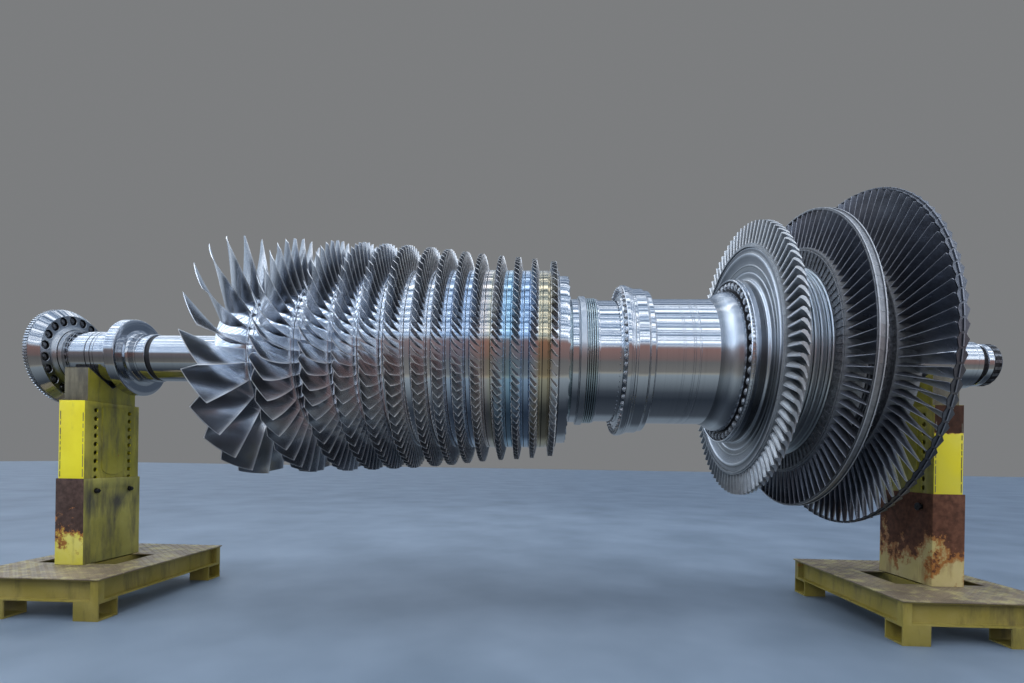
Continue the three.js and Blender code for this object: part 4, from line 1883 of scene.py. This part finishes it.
class ROTOR_OT_stands(bpy.types.Operator):
    """Builds the two skids with their decks, telescoping posts, V-saddles and pins"""

    bl_idname = "rotor.stands"
    bl_label = "Stands"

    def execute(self, context):
        sizes = context.scene.stand_sizes
        looks = finishes(context)
        for side, label in ((-1, "left"), (1, "right")):
            self.skid(label, looks)
            self.deck(label, sizes, looks)
            self.posts(label, side, sizes, looks)
            self.saddle(label, looks)
        return {"FINISHED"}

    def skid(self, label, looks):
        node = label + "_skid_frame"
        obj = copy_of_node(node, label + "_skid", looks["frame"])
        place_piece(applied(obj), "yellow_paint", node)

    def deck(self, label, sizes, looks):
        node = label + "_deck_plate"
        low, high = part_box(node)
        post_low, post_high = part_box(label + "_outer_post")
        post_x = 0.5 * (post_low.x + post_high.x)
        obj = applied(copy_of_node(node, label + "_deck", looks["tread"], 0.0015))
        lozenge = Shell(axis=0.0)
        foot = (0.0135, 0.0042, -0.0006, 0.0)
        crown = (0.009, 0.0018, 0.0022, 1.0)
        rows = []
        for reach, half, height, wear_and_glint in (foot, crown):
            corners = ((-reach, 0), (0, -half), (reach, 0), (0, half))
            rows.append([lozenge.point(x, y, height, wear_and_glint) for x, y in corners])
        lozenge.stack(rows)
        opening_x, opening_y = 0.366, 0.261
        margin = 0.018
        length, width = high.x - low.x - 2 * margin, high.y - low.y - 2 * margin
        along = 2 * int(length / sizes.tread_pitch / 2) + 1
        across = 2 * int(width / sizes.tread_pitch / 2) + 1
        treads = lozenge.object(label + "_treads", [looks["tread"]])
        grown(
            treads,
            tread_tree(),
            {
                "Length": length,
                "Width": width,
                "Along": along,
                "Across": across,
                "Centre": (0.5 * (low.x + high.x), 0, high.z),
                "Opening Centre": (post_x, 0, high.z),
                "Opening X": opening_x,
                "Opening Y": opening_y,
                "Finish": looks["tread"],
            },
        )
        place_piece(joined(label + "_tread_deck", [obj, treads]), "tread_plate", node)

    def posts(self, label, side, sizes, looks):
        low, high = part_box(label + "_outer_post")
        x = 0.5 * (low.x + high.x)
        sleeve = looks["rusted" if side < 0 else "brown"]
        outer = copy_of_node(label + "_outer_post", label + "_sleeve", sleeve, 0.0)
        shell = Shell()
        reach, hole_sides, edge_angle = 0.2, 20, 50
        z = high.z - PIN_BELOW_TOP
        radius = sizes.pin_hole * 0.55
        for y in (-PIN_ACROSS, PIN_ACROSS):
            rod(shell, (x - reach, y, z), (x + reach, y, z), radius, hole_sides)
        bored(outer, shell)
        applied(bevelled(outer, 0.004, edge_angle))
        outer.data.materials.append(looks["grimy"])
        inward = -side
        for polygon in outer.data.polygons:
            if abs(polygon.normal.x) > 0.9:
                polygon.material_index = 1 if side < 0 else 0
        place_piece(outer, "yellow_paint", label + "_outer_post")
        inner_low, inner_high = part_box(label + "_inner_post")
        inner = copy_of_node(label + "_inner_post", label + "_ram", looks["olive"], 0.0)
        shell = Shell()
        most_holes, first_hole, bottom_margin = 12, 0.075, 0.05
        radius = sizes.pin_hole / 2
        for y in (-PIN_ACROSS, PIN_ACROSS):
            for k in range(most_holes):
                z = inner_high.z - first_hole - k * sizes.pin_pitch
                if z > inner_low.z + bottom_margin:
                    rod(shell, (x - reach, y, z), (x + reach, y, z), radius, hole_sides)
        bored(inner, shell)
        applied(bevelled(inner, 0.003, edge_angle))
        inner.data.materials.append(looks["bright" if side < 0 else "capped"])
        inner.data.materials.append(looks["stained"])
        for polygon in inner.data.polygons:
            if abs(polygon.normal.y) > 0.9:
                polygon.material_index = 1
        place_piece(inner, "yellow_paint", label + "_inner_post")
        self.trim(label, x, inward, high, inner_low, inner_high, sizes, looks)

    def trim(self, label, x, inward, sleeve_top, ram_low, ram_high, sizes, looks):
        """Lock pins with their heads and cross pins, and the centre panel with its round end."""
        shell = Shell()
        z = sleeve_top.z - PIN_BELOW_TOP
        shank, head = sizes.pin_hole * 0.45, sizes.pin_hole * 0.75
        half_length, head_out, head_in = 0.15, 0.158, 0.146
        cross_x, cross_half, cross_radius = x + 0.14, 0.03, 0.005
        for y in (-PIN_ACROSS, PIN_ACROSS):
            rod(shell, (x - half_length, y, z), (x + half_length, y, z), shank, 20)
            rod(shell, (x - head_out, y, z), (x - head_in, y, z), head, 20)
            low, high = (cross_x, y - cross_half, z), (cross_x, y + cross_half, z)
            rod(shell, low, high, cross_radius, 10)
        pins = shell.object(label + "_lock_pins", [looks["black"]])
        place_piece(pins, "machined_steel")
        panel = Shell()
        thickness = 0.006
        half = 0.125
        face_x = x + inward * 0.5 * (ram_high.x - ram_low.x)
        bottom = sleeve_top.z + 0.03
        top = ram_high.z - 0.04
        round_end, steps = 0.06, 12
        outline = [(-half, top), (half, top)]
        for k in range(steps + 1):
            a = math.pi * k / steps
            z = bottom + round_end - round_end * math.sin(a)
            outline.append((half * math.cos(a), z))
        rows = []
        for depth in (-0.001, thickness):
            face = face_x + inward * depth
            rows.append([panel.point(face, y, z) for y, z in outline])
        panel.stack(rows)
        plate = panel.object(label + "_ram_panel", [looks["olive"]])
        place_piece(plate, "yellow_paint")
        self.weld_marks(label, x, sleeve_top, ram_low, ram_high, looks)

    def weld_marks(self, label, x, sleeve_top, ram_low, ram_high, looks):
        """Broken dark weld lines along both edges of the ram's front plate."""
        marks = Shell()
        spacing = random.Random(7)
        inset = 0.5 * (ram_high.x - ram_low.x) - 0.013
        front = ram_low.y
        half_width, proud, sunk = 0.003, 0.0015, 0.002
        bottom, top = sleeve_top.z + 0.015, ram_high.z - 0.16
        for way in (-1, 1):
            z = bottom
            while z < top:
                length = spacing.uniform(0.025, 0.1)
                low = (x + way * inset - half_width, front - proud, z)
                high = (x + way * inset + half_width, front + sunk, z + length)
                slab(marks, low, high)
                z += length + spacing.uniform(0.008, 0.03)
        lines = marks.object(label + "_ram_welds", [looks["stained"]])
        place_piece(lines, "yellow_paint")

    def saddle(self, label, looks):
        node = label + "_saddle"
        obj = copy_of_node(node, label + "_v_block", looks["olive"], 0.002)
        obj = applied(obj)
        obj.data.materials.append(looks["stained"])
        for polygon in obj.data.polygons:
            if polygon.normal.y < -0.9:
                polygon.material_index = 1
        place_piece(obj, "yellow_paint", node)
        node = label + "_saddle_liner"
        obj = copy_of_node(node, label + "_v_liner", looks["liner"], 0.0015)
        place_piece(applied(obj), "liner_pad", node)


# Studio


class ROTOR_OT_studio(bpy.types.Operator):
    """Builds the pale floor, the soft lights and the camera"""

    bl_idname = "rotor.studio"
    bl_label = "Floor, lights and camera"

    def execute(self, context):
        self.floor()
        self.sky(context)
        self.lamps()
        self.camera(context)
        return {"FINISHED"}

    def floor(self):
        mesh = bpy.data.meshes.new("studio_floor")
        size = 60.0
        corners = [(-size, -size, 0), (size, -size, 0), (size, size, 0), (-size, size, 0)]
        mesh.from_pydata(corners, [], [(0, 1, 2, 3)])
        obj = bpy.data.objects.new("studio_floor", mesh)
        bpy.context.scene.collection.objects.link(obj)
        made = Finish("pale_floor", 0.0, 0.55)
        pattern = made.noise(0.8, 3.0)
        made.set(
            "Base Color",
            made.ramp(pattern, ((0.3, (0.105, 0.14, 0.185)), (0.7, (0.16, 0.205, 0.265)))),
        )
        mesh.materials.append(made.material)
        obj.visible_glossy = False

    def sky(self, context):
        """What the steel mirrors, by the angle about the rotor axis: lamps over a dark hall."""
        world = bpy.data.worlds.new("studio")
        context.scene.world = world
        world.use_nodes = True
        hall = Pattern(world.node_tree, "Generated")
        forward = hall.math("MULTIPLY", hall.axis("Y"), -1.0, clamp=False)
        angle = hall.math("ARCTAN2", hall.axis("Z"), forward, clamp=False)
        share = hall.mask(angle, -math.pi, math.pi)

        def at(degrees):
            return (degrees + 180) / 360

        walls = hall.ramp(
            share,
            (
                (at(-180), (0.2, 0.235, 0.28)),
                (at(-140), (0.2, 0.245, 0.29)),
                (at(-125), (0.07, 0.085, 0.105)),
                (at(-80), (0.035, 0.045, 0.06)),
                (at(-66), (0.07, 0.085, 0.105)),
                (at(-32), (0.33, 0.385, 0.42)),
                (at(-29.5), (0.42, 0.41, 0.35)),
                (at(-27), (0.24, 0.235, 0.22)),
                (at(-9), (0.19, 0.185, 0.18)),
                (at(-4), (0.25, 0.18, 0.17)),
                (at(14), (0.35, 0.21, 0.19)),
                (at(22), (0.4, 0.45, 0.5)),
                (at(95), (0.5, 0.56, 0.63)),
                (at(160), (0.22, 0.26, 0.31)),
                (at(180), (0.2, 0.235, 0.28)),
            ),
        )
        warm = hall.math(
            "MULTIPLY", hall.mask(share, at(-9), at(-3)), hall.mask(share, at(21), at(15))
        )
        warm = hall.math("MULTIPLY", warm, hall.mask(hall.axis("X"), -0.05, -0.3))
        walls = hall.blend(warm, walls, (0.72, 1.0, 1.14), "MULTIPLY")
        spot = hall.node(
            "ShaderNodeCombineXYZ",
            {
                "X": hall.math("MULTIPLY", hall.axis("X"), 0.1, clamp=False),
                "Y": hall.math("MULTIPLY", share, 44.0, clamp=False),
            },
        )
        rows = hall.node(
            "ShaderNodeTexNoise",
            {"Vector": spot.outputs[0], "Scale": 1.0, "Detail": 3.0, "Roughness": 0.62},
            noise_dimensions="2D",
        )
        lamps = hall.ramp(
            rows.outputs[0],
            (
                (0.34, (0.03, 0.045, 0.07)),
                (0.41, (0.05, 0.08, 0.12)),
                (0.45, (0.3, 0.36, 0.44)),
                (0.47, (0.06, 0.09, 0.14)),
                (0.505, (0.08, 0.115, 0.17)),
                (0.53, (0.5, 0.55, 0.6)),
                (0.55, (1.0, 1.0, 1.0)),
                (0.57, (0.16, 0.22, 0.31)),
                (0.61, (0.1, 0.15, 0.22)),
                (0.635, (1.0, 1.0, 1.0)),
                (0.7, (0.2, 0.26, 0.33)),
            ),
        )
        lit = hall.node("ShaderNodeVectorMath", {0: lamps, "Scale": 3.5}, operation="SCALE")
        above = hall.math(
            "MULTIPLY", hall.mask(share, at(17), at(22)), hall.mask(share, at(178), at(100))
        )
        colour = hall.blend(hall.math("MULTIPLY", above, 0.95), walls, lit.outputs[0])
        crown = hall.math(
            "MULTIPLY", hall.mask(hall.axis("X"), -0.02, 0.08), hall.mask(share, at(95), at(130))
        )
        colour = hall.blend(crown, colour, (0.5, 0.54, 0.6), "MULTIPLY")
        left = hall.mask(hall.axis("X"), -0.5, -0.85)
        low_left = hall.math("MULTIPLY", left, hall.mask(share, at(15), at(-10)))
        high_left = hall.math(
            "MULTIPLY", hall.mask(hall.axis("X"), -0.15, -0.6), hall.mask(share, at(15), at(30))
        )
        colour = hall.blend(low_left, colour, (0.36, 0.38, 0.42), "MULTIPLY")
        colour = hall.blend(high_left, colour, (1.6, 1.6, 1.6), "MULTIPLY")
        seen = hall.node("ShaderNodeLightPath").outputs["Is Camera Ray"]
        shown = hall.blend(seen, colour, (0.2, 0.205, 0.21))
        hall.links.new(shown, hall.nodes["Background"].inputs["Color"])

    def lamps(self):
        for name, place, aim, size, power in (
            ("key_light", (-3.5, -7.0, 7.5), (0, 0, 2.0), (7.0, 2.0), 330),
            ("top_light", (0.5, -1.0, 8.0), (0, 0, 2.0), (9.0, 2.5), 300),
            ("fill_light", (6.5, -6.0, 4.0), (1.5, 0, 1.8), (3.0, 3.0), 120),
            ("rear_light", (0.0, 7.5, 6.5), (0, 0, 2.0), (8.0, 2.0), 200),
        ):
            data = bpy.data.lights.new(name, "AREA")
            data.shape = "RECTANGLE"
            data.size, data.size_y = size
            data.energy = power
            obj = bpy.data.objects.new(name, data)
            bpy.context.scene.collection.objects.link(obj)
            obj.visible_glossy = False
            obj.location = place
            heading = Vector(aim) - Vector(place)
            obj.rotation_mode = "QUATERNION"
            obj.rotation_quaternion = heading.to_track_quat("-Z", "Y")

    def camera(self, context):
        """Stands where the photograph was taken from, 1.3 m above the floor."""
        data = bpy.data.cameras.new("photo_camera")
        obj = bpy.data.objects.new("photo_camera", data)
        context.scene.collection.objects.link(obj)
        data.sensor_width = 36.0
        data.lens = 18.633
        data.shift_y = 0.1141
        data.clip_start = 0.05
        data.clip_end = 200.0
        place = (0.3176, -4.6660, 1.2942)
        right = Vector((0.99901, 0.041534, 0.015926)).normalized()
        view = Vector((-0.041529, 0.999137, -0.000662)).normalized()
        up = right.cross(view).normalized()
        view = up.cross(right).normalized()
        turn = Matrix((right, up, -view)).transposed()
        obj.matrix_world = Matrix.Translation(place) @ turn.to_4x4()
        context.scene.camera = obj
        context.scene.view_settings.view_transform = "Standard"


class ROTOR_PT_panel(bpy.types.Panel):
    """Lists the rotor's settings and its pieces"""

    bl_label = "Gas turbine rotor"
    bl_idname = "ROTOR_PT_panel"
    bl_space_type = "VIEW_3D"
    bl_region_type = "UI"
    bl_category = "Rotor"

    def draw(self, context):
        layout = self.layout
        for group in ("rotor_sizes", "stand_sizes", "rotor_finishes"):
            settings = getattr(context.scene, group)
            box = layout.box()
            for name in settings.__annotations__:
                box.prop(settings, name)
        for operator in OPERATORS:
            layout.operator(operator.bl_idname)


OPERATORS = (
    ROTOR_OT_inlet_shaft,
    ROTOR_OT_compressor,
    ROTOR_OT_middle,
    ROTOR_OT_turbine,
    ROTOR_OT_exhaust_shaft,
    ROTOR_OT_stands,
    ROTOR_OT_studio,
)
CLASSES = (RotorSizes, RotorFinishes, StandSizes, *OPERATORS, ROTOR_PT_panel)


def register():
    for item in CLASSES:
        bpy.utils.register_class(item)
    bpy.types.Scene.rotor_sizes = bpy.props.PointerProperty(type=RotorSizes)
    bpy.types.Scene.rotor_finishes = bpy.props.PointerProperty(type=RotorFinishes)
    bpy.types.Scene.stand_sizes = bpy.props.PointerProperty(type=StandSizes)


def unregister():
    del bpy.types.Scene.stand_sizes
    del bpy.types.Scene.rotor_finishes
    del bpy.types.Scene.rotor_sizes
    for item in reversed(CLASSES):
        bpy.utils.unregister_class(item)


def main():
    register()
    for operator in OPERATORS:
        group, name = operator.bl_idname.split(".")
        getattr(getattr(bpy.ops, group), name)()


if __name__ == "__main__":
    main()
